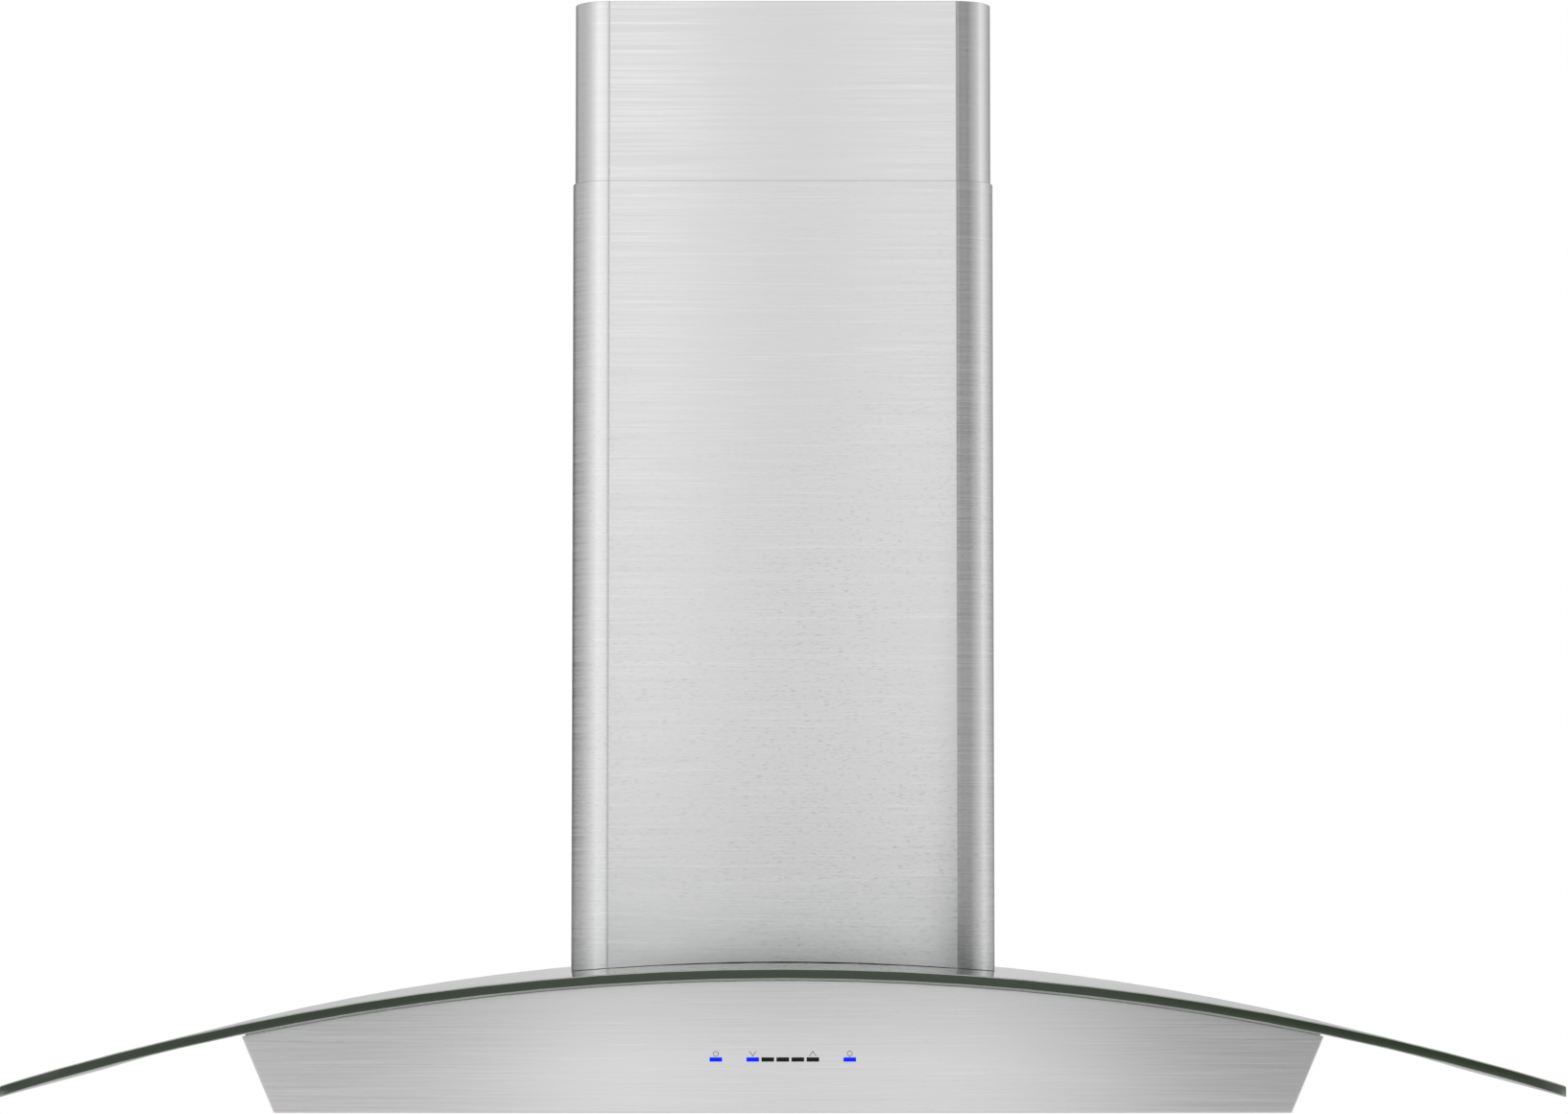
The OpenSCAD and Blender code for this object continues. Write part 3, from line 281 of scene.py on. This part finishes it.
def light_window(name, code, glow):
    """A moulded window with a lamp behind it, etched matt so that it hardly mirrors the room."""
    material, _, shader = new_material(
        name, Roughness=0.5, Specular_IOR_Level=0.08, Emission_Strength=glow)
    shader.inputs["Base Color"].default_value = srgb(code)
    shader.inputs["Emission Color"].default_value = srgb(code)
    return material


# The canopy values paint shade into the steel near the glass: face, reach, depth, power and half
# width
cover_steel = brushed_stainless("brushed_stainless_covers", SHEET_GRAIN, scratch=0.06, flecks=0.18,
                                canopy=(0.080, 0.062, 0.48, 3.0, 0.16), low_wear=True)
shell_steel = brushed_stainless("brushed_stainless_body", SHEET_GRAIN, "#e6e6e7", scratch=0.05,
                                flecks=0.05, canopy=(0.076, -0.045, 0.20, 1.0, 0.40))
upper_steel = brushed_stainless("brushed_stainless_upper_cover", SHEET_GRAIN, scratch=0.032,
                                flecks=0.03)
panel_steel = brushed_stainless("brushed_stainless_underside", PANEL_GRAIN)
filter_steel = brushed_stainless("brushed_stainless_filters", FILTER_GRAIN, "#d6d6d7", 0.28)
mill_steel = speckled("mill_finish_stainless", "#a3a5a6", grain_mm=1.5, Metallic=1.0, Roughness=0.34)
etched_steel = brushed_stainless("laser_etched_stainless", SHEET_GRAIN, "#8a8a8b", 0.26)
galvanised = galvanised_sheet()
zinc_plate = speckled("zinc_plated_screws", "#c2c5c9", Metallic=1.0, Roughness=0.25)
ground_steel = speckled("ground_steel_shafts", "#b4b6b9", Metallic=1.0, Roughness=0.22)
spring_wire = speckled("drawn_spring_wire", "#b9bbbe", Metallic=1.0, Roughness=0.2)
silicone = speckled("translucent_silicone_gasket", "#c9ccc8", Roughness=0.5)
motor_paint = speckled("stoved_motor_paint", "#2b2e33", grain_mm=1.2, Roughness=0.45)
can_plastic = speckled("moulded_capacitor_can", "#dcdcd6", Roughness=0.35)
black_plastic = speckled("moulded_black_abs", "#17181a", grain_mm=0.8, Roughness=0.5)
lamp_trim = speckled("satin_chrome_trim", "#cfd1d3", Metallic=1.0, Roughness=0.18)
frosted_lens = speckled("frosted_lamp_lens", "#eeeeea", depth=0.04, Roughness=0.4)
cast_aluminium = speckled("cast_aluminium_lamp", "#c4c6c8", grain_mm=1, Metallic=1.0, Roughness=0.4)
board_laminate = speckled("green_board_laminate", "#12502f", Roughness=0.35)
sheath = speckled("extruded_grey_sheath", "#c3c3bf", Roughness=0.5)
blue_light = light_window("blue_light_window", "#0019ff", 1.0)
dark_light = light_window("dark_light_window", "#181818", 0.0)
glass = toughened_glass()
glass_edge = polished_glass_edge()
glass_arris = ground_glass_arris()

FINISHES = {
    "brushed_stainless": cover_steel, "filter_stainless": filter_steel,
    "galvanised_steel": galvanised, "screw_steel": zinc_plate, "shaft_steel": ground_steel,
    "spring_steel": spring_wire, "canopy_glass": glass, "clear_silicone": silicone,
    "motor_paint": motor_paint, "capacitor_can": can_plastic, "black_plastic": black_plastic,
    "lamp_trim": lamp_trim, "frosted_lens": frosted_lens, "lamp_aluminium": cast_aluminium,
    "board_laminate": board_laminate, "blue_light_bar": blue_light, "dark_light_bar": dark_light,
    "cable_sheath": sheath,
}
OWN_FINISH = {"hood_shell": shell_steel, "bottom_panel": panel_steel, "top_panel": mill_steel,
              "upper_duct_cover": upper_steel}
SLOTS = {part["node"]: part["material_slot"] for part in frame["record"]["subparts"]}
BODY_OF = {node: body for body, nodes in frame["record"]["behaviour"]["bodies"].items()
           for node in nodes}


def finish_of(node):
    return OWN_FINISH.get(node, FINISHES[SLOTS[node]])


def dress_frame():
    for node, piece in frame["nodes"].items():
        piece.data.materials.clear()
        piece.data.materials.append(finish_of(node))


dress_frame()


# Pieces made from the frame's own sheets, with folds and rims softened

def stands_for(piece, node):
    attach(piece, BODY_OF[node])
    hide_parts(node)


WELD = 0.002 * MM
FLAT_DEGREES = 0.5
SAME_WAY = 0.99999  # how alike the directions of two faces in one plane are
RIM_SHEETS = 1.4  # a flat narrower than this many sheets is a cut rim


def copy_of(node):
    """The node's mesh with its loose triangles joined to flat faces without hollows."""
    shape = bmesh.new()
    shape.from_mesh(frame["nodes"][node].data)
    bmesh.ops.remove_doubles(shape, verts=shape.verts, dist=WELD)
    bmesh.ops.dissolve_limit(shape, angle_limit=math.radians(FLAT_DEGREES),
                             use_dissolve_boundaries=False,
                             verts=shape.verts, edges=shape.edges)
    bmesh.ops.connect_verts_concave(shape, faces=shape.faces)
    return shape


def outer_corners(shape, least=50):
    """Edges where two faces meet at an outer corner, in degrees."""
    return [e for e in shape.edges if len(e.link_faces) == 2 and e.is_convex
            and e.calc_face_angle(0) > math.radians(least)]


def flat_around(face):
    """The faces that lie in one plane with a face and join up with it."""
    flat, front = {face}, [face]
    while front:
        for edge in front.pop().edges:
            for near in edge.link_faces:
                if near not in flat and near.normal.dot(face.normal) > SAME_WAY:
                    flat.add(near)
                    front.append(near)
    return flat


def flat_widths(shape):
    """The width of the flat that each face is part of: at a cut rim, the sheet's thickness."""
    widths, left = {}, set(shape.faces)
    while left:
        flat = flat_around(next(iter(left)))
        border = sum(e.calc_length() for f in flat for e in f.edges
                     if sum(near in flat for near in e.link_faces) == 1)
        width = 2 * sum(f.calc_area() for f in flat) / border
        widths.update({f: width for f in flat})
        left -= flat
    return widths


def soften(shape, edges, width, segments=2, material=-1, clamp=False):
    bmesh.ops.bevel(shape, geom=edges, offset=width, offset_type="OFFSET", segments=segments,
                    profile=0.5, affect="EDGES", clamp_overlap=clamp, material=material)


def to_piece(shape, name, materials, sharp=35):
    """Writes a shape to an object at the origin, smooth except across sharp corners."""
    for face in shape.faces:
        face.smooth = True
    for edge in shape.edges:
        if len(edge.link_faces) == 2:
            edge.smooth = edge.calc_face_angle(0) < math.radians(sharp)
    mesh = bpy.data.meshes.new(name)
    shape.to_mesh(mesh)
    shape.free()
    for material in materials:
        mesh.materials.append(material)
    piece = bpy.data.objects.new(name, mesh)
    bpy.context.scene.collection.objects.link(piece)
    flats = piece.modifiers.new("flat_faces_stay_flat", "WEIGHTED_NORMAL")
    flats.keep_sharp = True
    flats.weight = 100
    return piece


def folded(node, sheet, fold, rim=0.15 * MM):
    """A sheet-metal piece: folds get a bend radius, and cut rims lose their sharp edge."""
    shape = copy_of(node)
    corners, widths = outer_corners(shape), flat_widths(shape)
    rims = [e for e in corners if min(widths[f] for f in e.link_faces) < RIM_SHEETS * sheet]
    folds = [e for e in corners if e not in set(rims)]
    soften(shape, folds, fold, segments=3)
    rims = [e for e in rims if e.is_valid]
    soften(shape, rims, rim, segments=1)
    piece = to_piece(shape, node + "_sheet", [finish_of(node)])
    stands_for(piece, node)
    return piece


def eased(node, width, least=40):
    """A piece with every outer corner broken, as moulded, cast and turned parts have."""
    shape = copy_of(node)
    soften(shape, outer_corners(shape, least), width, clamp=True)
    stands_for(to_piece(shape, node + "_eased", [finish_of(node)]), node)


def glass_pane():
    """The canopy: clear faces, a dark polished edge and ground arrises between them."""
    shape = copy_of("glass_canopy")
    for face in shape.faces:
        middle = face.calc_center_median()
        radial = Vector((middle.x, 0, middle.z + GLASS_R - GLASS_TOP_Z))
        face.material_index = 0 if abs(face.normal.dot(radial.normalized())) > 0.9 else 1
    rims = [e for e in outer_corners(shape)
            if {f.material_index for f in e.link_faces} == {0, 1}]
    soften(shape, rims, 0.6 * MM, material=2)
    piece = to_piece(shape, "glass_canopy_pane", [glass, glass_edge, glass_arris], sharp=25)
    stands_for(piece, "glass_canopy")


FOOT_REACH = 0.3 * MM  # above the gap, so that the softened rim moves too
FOOT_DROP = 0.1 * MM
MORE_AT_SIDES = 0.18 * MM
DROP_STARTS, DROP_RUN = 30 * MM, 50 * MM


def settle_foot(cover):
    """The lower cover's cut foot comes to 0.02 mm from the glass at its sides and stands 0.2 mm
    off it in the middle, where it casts a thin dark line."""
    for vert in cover.data.vertices:
        out = vert.co - Vector((0, vert.co.y, GLASS_TOP_Z - GLASS_R))
        if out.length - GLASS_R < FOOT_GAP + FOOT_REACH:
            share = min(1, max(0, (abs(vert.co.x) - DROP_STARTS) / DROP_RUN))
            vert.co -= out.normalized() * (FOOT_DROP + share * MORE_AT_SIDES)


def closing_springs(side):
    """The springs behind a latch: a smooth copy of the frame's coils stands in for them."""
    node = "latch_springs_" + side
    piece = to_piece(copy_of(node), node + "_coils", [finish_of(node)], sharp=60)
    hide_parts(node)
    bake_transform(piece)


folded("hood_shell", SHEET, BEND_R)
folded("bottom_panel", SHEET, BEND_R)
settle_foot(folded("lower_duct_cover", SHEET, BEND_R, rim=0.22 * MM))
folded("upper_duct_cover", SHEET, BEND_R)
for side in ("left", "right"):
    folded("filter_frame_" + side, SHEET, BEND_R)
    folded("filter_baffles_" + side, BAFFLE_SHEET, BAFFLE_BEND_R)
    closing_springs(side)
glass_pane()
for node, width in {
    "lamp_bezels": 0.25, "lamp_lenses": 0.3, "filter_latch_left": 0.4, "filter_latch_right": 0.4,
    "motor": 0.8, "capacitor": 0.8, "junction_box_lid": 0.25, "terminal_block": 0.4,
    "board_carrier": 0.3, "upper_cover_bracket": 0.2, "blower_box_cover": 0.15,
    "impeller_nut": 0.3, "outlet_collar": 0.12, "back_panel": 0.2,
}.items():
    eased(node, width * MM)


# Screws: the frame's plain ones make way for pan heads with a cross recess and a rolled thread

ROUND_STEPS = 32

def solids_of(shape):
    """The faces of each separate solid in a shape."""
    left, solids = set(shape.faces), []
    while left:
        solid, front = set(), [left.pop()]
        while front:
            face = front.pop()
            solid.add(face)
            near = {f for v in face.verts for f in v.link_faces} & left
            left -= near
            front.extend(near)
        solids.append(solid)
    return solids


def cross_place(step, arm, half):
    """Where one of the steps round a cross outline lies: each arm ends at a distance, and is two
    halves wide."""
    mid = (arm + half) / 2
    x, y = ((arm, 0), (arm, half / 2), (arm, half), (mid, half), (half, half), (half, mid),
            (half, arm), (half / 2, arm))[step % 8]
    return Matrix.Rotation(math.tau * (step // 8) / 4, 3, "Z") @ Vector((x, y, 0))


def pan_screw(head, height, shank, length):
    """A screw with its crown at z = 0 and its point at z = -length, turned as on a lathe."""
    outline, pitch = [(0, -length), (0.5 * shank, -length)], 0.5 * MM
    z = pitch - length
    while z < -height - pitch:
        outline += [(shank, z), (0.84 * shank, z + pitch / 2)]
        z += pitch
    outline += [(0.9 * shank, -height), (head, -height), (head, -0.6 * height)]
    outline += [(head * (0.7 + 0.3 * math.cos(a)), -0.6 * height * (1 - math.sin(a)))
                for a in (0.4, 0.8, 1.2, math.pi / 2)]
    shape = bmesh.new()
    points = [shape.verts.new((r, 0, z)) for r, z in outline]
    edges = [shape.edges.new(pair) for pair in zip(points, points[1:])]
    bmesh.ops.spin(shape, geom=points + edges, cent=(0, 0, 0), axis=(0, 0, 1),
                   steps=ROUND_STEPS, angle=math.tau, use_merge=True)
    bmesh.ops.remove_doubles(shape, verts=shape.verts, dist=0.0005 * MM)
    rim = [e for e in shape.edges if e.is_boundary]
    crown = bmesh.ops.extrude_edge_only(shape, edges=rim)["geom"]
    for vert in crown:
        if isinstance(vert, bmesh.types.BMVert):
            turn = math.atan2(vert.co.y, vert.co.x) / math.tau
            step = round(turn * ROUND_STEPS) % ROUND_STEPS
            vert.co = cross_place(step, 0.52 * head, 0.13 * head)
    rim = [e for e in crown if isinstance(e, bmesh.types.BMEdge) and e.is_boundary]
    walls = bmesh.ops.extrude_edge_only(shape, edges=rim)["geom"]
    floor = [v for v in walls if isinstance(v, bmesh.types.BMVert)]
    bmesh.ops.scale(shape, vec=(0.8, 0.8, 1), verts=floor)
    bmesh.ops.translate(shape, vec=(0, 0, -0.6 * height), verts=floor)
    bmesh.ops.holes_fill(shape, edges=[e for e in shape.edges if e.is_boundary])
    bmesh.ops.recalc_face_normals(shape, faces=shape.faces)
    return shape


def real_screws(node):
    """Each plain screw's crown, seat and point give the size and place of the real one."""
    plain, shape = copy_of(node), bmesh.new()
    for solid in solids_of(plain):
        crown = max(solid, key=lambda face: face.calc_area())
        axis, top = crown.normal, crown.calc_center_median()
        ends = sorted((f for f in solid if f.normal.dot(axis) < -0.9),
                      key=lambda f: (top - f.calc_center_median()).dot(axis))
        tip = ends[-1].calc_center_median()
        screw = pan_screw(
            head=max((v.co - top).length for v in crown.verts),
            height=(top - ends[0].calc_center_median()).dot(axis),
            shank=max((v.co - tip).length for v in ends[-1].verts),
            length=(top - tip).dot(axis))
        bmesh.ops.transform(screw, verts=screw.verts,
                            matrix=Matrix.Translation(top) @ axis.to_track_quat("Z", "Y")
                            .to_matrix().to_4x4())
        made = bpy.data.meshes.new("screw")
        screw.to_mesh(made)
        screw.free()
        shape.from_mesh(made)
        bpy.data.meshes.remove(made)
    plain.free()
    stands_for(to_piece(shape, node + "_pan_head", [finish_of(node)]), node)


for node in ("clamp_screws", "clip_screws", "box_cover_screws", "blower_screws", "motor_screws",
             "collar_screws", "board_screws", "junction_screws", "bracket_screws"):
    real_screws(node)


# Marks etched over the touch controls: power, less, more and lamp

FRONT_Y = -492 * MM
MARK_Z = 33.6 * MM
MARK_W = 0.42 * MM
MARK_DEPTH = 0.02 * MM
POWER_X, ARROW_X, LAMP_X = -38.1, 17.1, 38.1  # millimetres from the middle


def etched_line(shape, x0, z0, x1, z1):
    """A straight stroke between two points, in millimetres from the middle and the marks' height."""
    run = Vector((x1 - x0, 0, z1 - z0)) * MM
    middle = Vector(((x0 + x1) / 2 * MM, FRONT_Y, MARK_Z + (z0 + z1) / 2 * MM))
    turn = Matrix.Rotation(-math.atan2(run.z, run.x), 4, "Y")
    size = Matrix.Diagonal((run.length + MARK_W, 2 * MARK_DEPTH, MARK_W, 1))
    bmesh.ops.create_cube(shape, size=1, matrix=Matrix.Translation(middle) @ turn @ size)


def etched_ring(shape, x, z, radius, gap=0):
    """A round stroke, open at the top by a gap in degrees."""
    start = math.radians(gap / 2)
    inner, outer = radius * MM - MARK_W / 2, radius * MM + MARK_W / 2
    points = [shape.verts.new((x * MM + r * math.sin(start), FRONT_Y + y,
                               MARK_Z + z * MM + r * math.cos(start)))
              for r, y in ((inner, MARK_DEPTH), (outer, MARK_DEPTH),
                           (outer, -MARK_DEPTH), (inner, -MARK_DEPTH))]
    edges = [shape.edges.new((a, b)) for a, b in zip(points, points[1:] + points[:1])]
    bmesh.ops.spin(shape, geom=points + edges, cent=(x * MM, FRONT_Y, MARK_Z + z * MM),
                   axis=(0, 1, 0), steps=ROUND_STEPS, angle=math.tau - 2 * start,
                   use_merge=not gap)
    bmesh.ops.holes_fill(shape, edges=[e for e in shape.edges if e.is_boundary])


def etched_marks():
    shape = bmesh.new()
    etched_ring(shape, POWER_X, 0, 1.45, gap=56)
    etched_line(shape, POWER_X, 0.5, POWER_X, 1.5)
    for x, up in ((-ARROW_X, -1), (ARROW_X, 1)):
        for side in (-1, 1):
            etched_line(shape, x + 1.85 * side, -1.25 * up, x, 1.25 * up)
    etched_ring(shape, LAMP_X, 0.1, 1.4)
    etched_line(shape, LAMP_X, -1.5, LAMP_X, -2.1)
    bmesh.ops.recalc_face_normals(shape, faces=shape.faces)
    piece = to_piece(shape, "etched_marks", [etched_steel])
    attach(piece, "hood_body")


etched_marks()


# Studio

# How bright the mirrored room is, by bearing: 0 is towards the camera, 90 along +X.
# These levels were set by looking at how near the steel's tones came to the photo's
ROOM_BY_BEARING = {
    -180: 0.74, -165: 0.5, -148: 0.08, -98: 0.38, -66: 0.78, -40: 1.18, -15: 1.05, -7.6: 0.76,
    -6.2: 0.30, -5: 0.30, -3.3: 0.62, -2: 1.20, -1.3: 0.98, -0.6: 0.76, 0: 0.73, 0.6: 0.78,
    1.2: 1.02, 1.8: 1.15, 2.6: 1.0, 3.4: 0.80, 4.2: 0.36, 5: 0.11, 6: 0.04, 9: 0.14, 13: 0.26,
    42: 0.22, 68: 0.62, 90: 0.97, 122: 0.56, 150: 0.30, 165: 0.5, 180: 0.74,
}
# And by height: -1 is straight down, 1 straight up
ROOM_BY_HEIGHT = {
    -1: 0.7, -0.1: 0.79, 0: 0.9, 0.1: 1.13, 0.2: 1.3, 0.35: 1.0, 0.6: 0.5, 1: 0.4,
}
ROOM_LIGHT = 0.62
# Added higher up: bearing, half its width, how much brighter, and between which heights
HIGHER_UP = (
    (-2.2, 2.2, 0.24, 0.0, 0.1), (-6.5, 2.4, 0.45, 0.12, 0.22), (9, 4.8, 0.7, 0.12, 0.22),
    (-125, 50, 0.5, 0.12, 0.2), (30, 28, 0.15, 0.12, 0.2), (80, 25, -0.2, 0.12, 0.2),
)
FLOOR_Z = -1.1
FLOOR_HALF = 20
LAMP_DISK = 2.0


def signed_root(tree, value):
    """The square root of a value's size, with its sign kept."""
    size = add(tree, "ShaderNodeMath", {0: value}, operation="ABSOLUTE")
    root = add(tree, "ShaderNodeMath", {0: size.outputs[0], 1: 0.5}, operation="POWER")
    sign = add(tree, "ShaderNodeMath", {0: value}, operation="SIGN")
    return add(tree, "ShaderNodeMath", {0: root.outputs[0], 1: sign.outputs[0]},
               operation="MULTIPLY").outputs[0]


def fill_ramp(ramp, levels):
    """Sets a ramp's stops, at most 32, from {position: brightness}."""
    ramp.interpolation = "LINEAR"
    ramp.elements.remove(ramp.elements[-1])
    stop = ramp.elements[0]
    for position, level in sorted(levels.items()):
        stop = stop or ramp.elements.new(position)
        stop.position, stop.color, stop = position, (level, level, level, 1), None


def room_ramp(tree, bearing):
    """The room's brightness by bearing, finest in front, where flat steel mirrors it."""
    share = spread(tree, signed_root(tree, bearing), 0.0, 1.0, -math.sqrt(math.pi),
                   math.sqrt(math.pi))
    ramp = add(tree, "ShaderNodeValToRGB", {"Fac": share})
    fill_ramp(ramp.color_ramp, {
        0.5 + math.copysign(math.sqrt(abs(degrees) / 180), degrees) / 2: level
        for degrees, level in ROOM_BY_BEARING.items()})
    return ramp.outputs["Color"]


def higher_up(tree, bearing, height):
    """What is added to the mirrored room's brightness from some heights up, near some bearings."""
    total = 0.0
    for centre, half, amount, low, high in HIGHER_UP:
        side = add(tree, "ShaderNodeMath", {0: bearing, 1: math.radians(centre)},
                   operation="SUBTRACT")
        off = add(tree, "ShaderNodeMath", {0: side.outputs[0]}, operation="ABSOLUTE")
        near = spread(tree, off.outputs[0], amount, 0.0, 0.0, math.radians(half))
        up = spread(tree, height, 0.0, 1.0, low, high)
        total = add(tree, "ShaderNodeMath", {0: near, 1: up, 2: total},
                    operation="MULTIPLY_ADD").outputs[0]
    return total


def add_world():
    """A white room. What steel mirrors of it is darker in some directions, as between a
    photographer's lights."""
    world = bpy.data.worlds.new("studio")
    bpy.context.scene.world = world
    world.cycles.sampling_method = "NONE"  # so that each ray sees its own side of the room
    world.use_nodes = True
    tree = world.node_tree
    tree.nodes.clear()
    direction = add(tree, "ShaderNodeTexCoord").outputs["Generated"]
    axes = add(tree, "ShaderNodeSeparateXYZ", {"Vector": direction})
    toward = add(tree, "ShaderNodeMath", {0: axes.outputs["Y"], 1: -1.0}, operation="MULTIPLY")
    bearing = add(tree, "ShaderNodeMath", {0: axes.outputs["X"], 1: toward.outputs[0]},
                  operation="ARCTAN2")
    height = add(tree, "ShaderNodeValToRGB", {
        "Fac": spread(tree, axes.outputs["Z"], 0.0, 1.0, -1.0, 1.0)})
    fill_ramp(height.color_ramp, {0.5 + z / 2: level for z, level in ROOM_BY_HEIGHT.items()})
    room = add(tree, "ShaderNodeMath", {
        0: room_ramp(tree, bearing.outputs[0]),
        1: higher_up(tree, bearing.outputs[0], axes.outputs["Z"])}, operation="ADD")
    mirrored = add(tree, "ShaderNodeMath", {0: room.outputs[0], 1: height.outputs["Color"]},
                   operation="MULTIPLY")
    rays = add(tree, "ShaderNodeLightPath").outputs
    in_mirror = add(tree, "ShaderNodeMath", {0: rays["Glossy Depth"], 1: 0.5},
                    operation="GREATER_THAN")
    through = add(tree, "ShaderNodeMath", {0: rays["Is Transmission Ray"], 1: in_mirror.outputs[0]},
                  operation="GREATER_THAN")
    seen = add(tree, "ShaderNodeMath", {0: rays["Is Camera Ray"], 1: through.outputs[0]},
               operation="MAXIMUM")
    glossy = add(tree, "ShaderNodeMix", {
        "Factor": in_mirror.outputs[0], "A": ROOM_LIGHT, "B": mirrored.outputs[0]},
        data_type="FLOAT")
    strength = add(tree, "ShaderNodeMix", {
        "Factor": seen.outputs[0], "A": glossy.outputs["Result"], "B": 1.0}, data_type="FLOAT")
    back = add(tree, "ShaderNodeBackground", {
        "Color": (1, 1, 1, 1), "Strength": strength.outputs["Result"]})
    add(tree, "ShaderNodeOutputWorld", {"Surface": back.outputs["Background"]})


def add_lamp(name, place, aim, power):
    data = bpy.data.lights.new(name, "AREA")
    data.shape = "DISK"
    data.size = LAMP_DISK
    data.energy = power
    lamp = bpy.data.objects.new(name, data)
    lamp.location = place
    lamp.rotation_euler = (Vector(aim) - Vector(place)).to_track_quat("-Z", "Y").to_euler()
    lamp.visible_glossy = False
    lamp.visible_camera = False
    lamp.visible_transmission = False
    bpy.context.scene.collection.objects.link(lamp)


def add_floor():
    """A pale floor well below the hood, which shows its shadow, is open from beneath and turns as
    white as the room further out."""
    shape = bmesh.new()
    bmesh.ops.create_grid(shape, x_segments=1, y_segments=1, size=FLOOR_HALF)
    bmesh.ops.translate(shape, vec=(0, 0, FLOOR_Z), verts=shape.verts)
    material, tree, shader = new_material("pale_floor", Roughness=0.9)
    shader.inputs["Base Color"].default_value = srgb("#f4f4f3")
    rays = add(tree, "ShaderNodeLightPath").outputs
    under = add(tree, "ShaderNodeNewGeometry").outputs["Backfacing"]
    clear = add(tree, "ShaderNodeBsdfTransparent")
    mirrored = add(tree, "ShaderNodeMath", {
        0: rays["Is Glossy Ray"], 1: rays["Is Transmission Ray"]}, operation="MAXIMUM").outputs[0]
    colour = add(tree, "ShaderNodeMix", {
        "Factor": mirrored, "A": (1, 1, 1, 1), "B": srgb("#e2e2e2")}, data_type="RGBA")
    white = add(tree, "ShaderNodeEmission", {"Color": colour.outputs["Result"], "Strength": 1.0})
    distance = add(tree, "ShaderNodeVectorMath", {
        0: add(tree, "ShaderNodeTexCoord").outputs["Object"]}, operation="LENGTH")
    plain = add(tree, "ShaderNodeMath", {
        0: spread(tree, distance.outputs["Value"], 0.0, 1.0, 1.3, 4.0), 1: mirrored},
        operation="MAXIMUM")
    surface = add(tree, "ShaderNodeMixShader", {
        0: plain.outputs[0], 1: shader.outputs[0], 2: white.outputs[0]})
    sided = add(tree, "ShaderNodeMixShader", {0: under, 1: surface.outputs[0], 2: clear.outputs[0]})
    tree.links.new(sided.outputs[0], tree.nodes["Material Output"].inputs["Surface"])
    floor = to_piece(shape, "floor", [material])


add_world()
add_lamp("key", (-1.6, -2.4, 2.2), (0, -0.25, 0.25), 60)
add_lamp("fill", (2.2, -2.0, 0.9), (0, -0.25, 0.25), 25)
add_lamp("back", (0.0, 2.2, 1.6), (0, -0.1, 0.3), 25)
add_floor()

bpy.context.scene.view_settings.view_transform = "Standard"
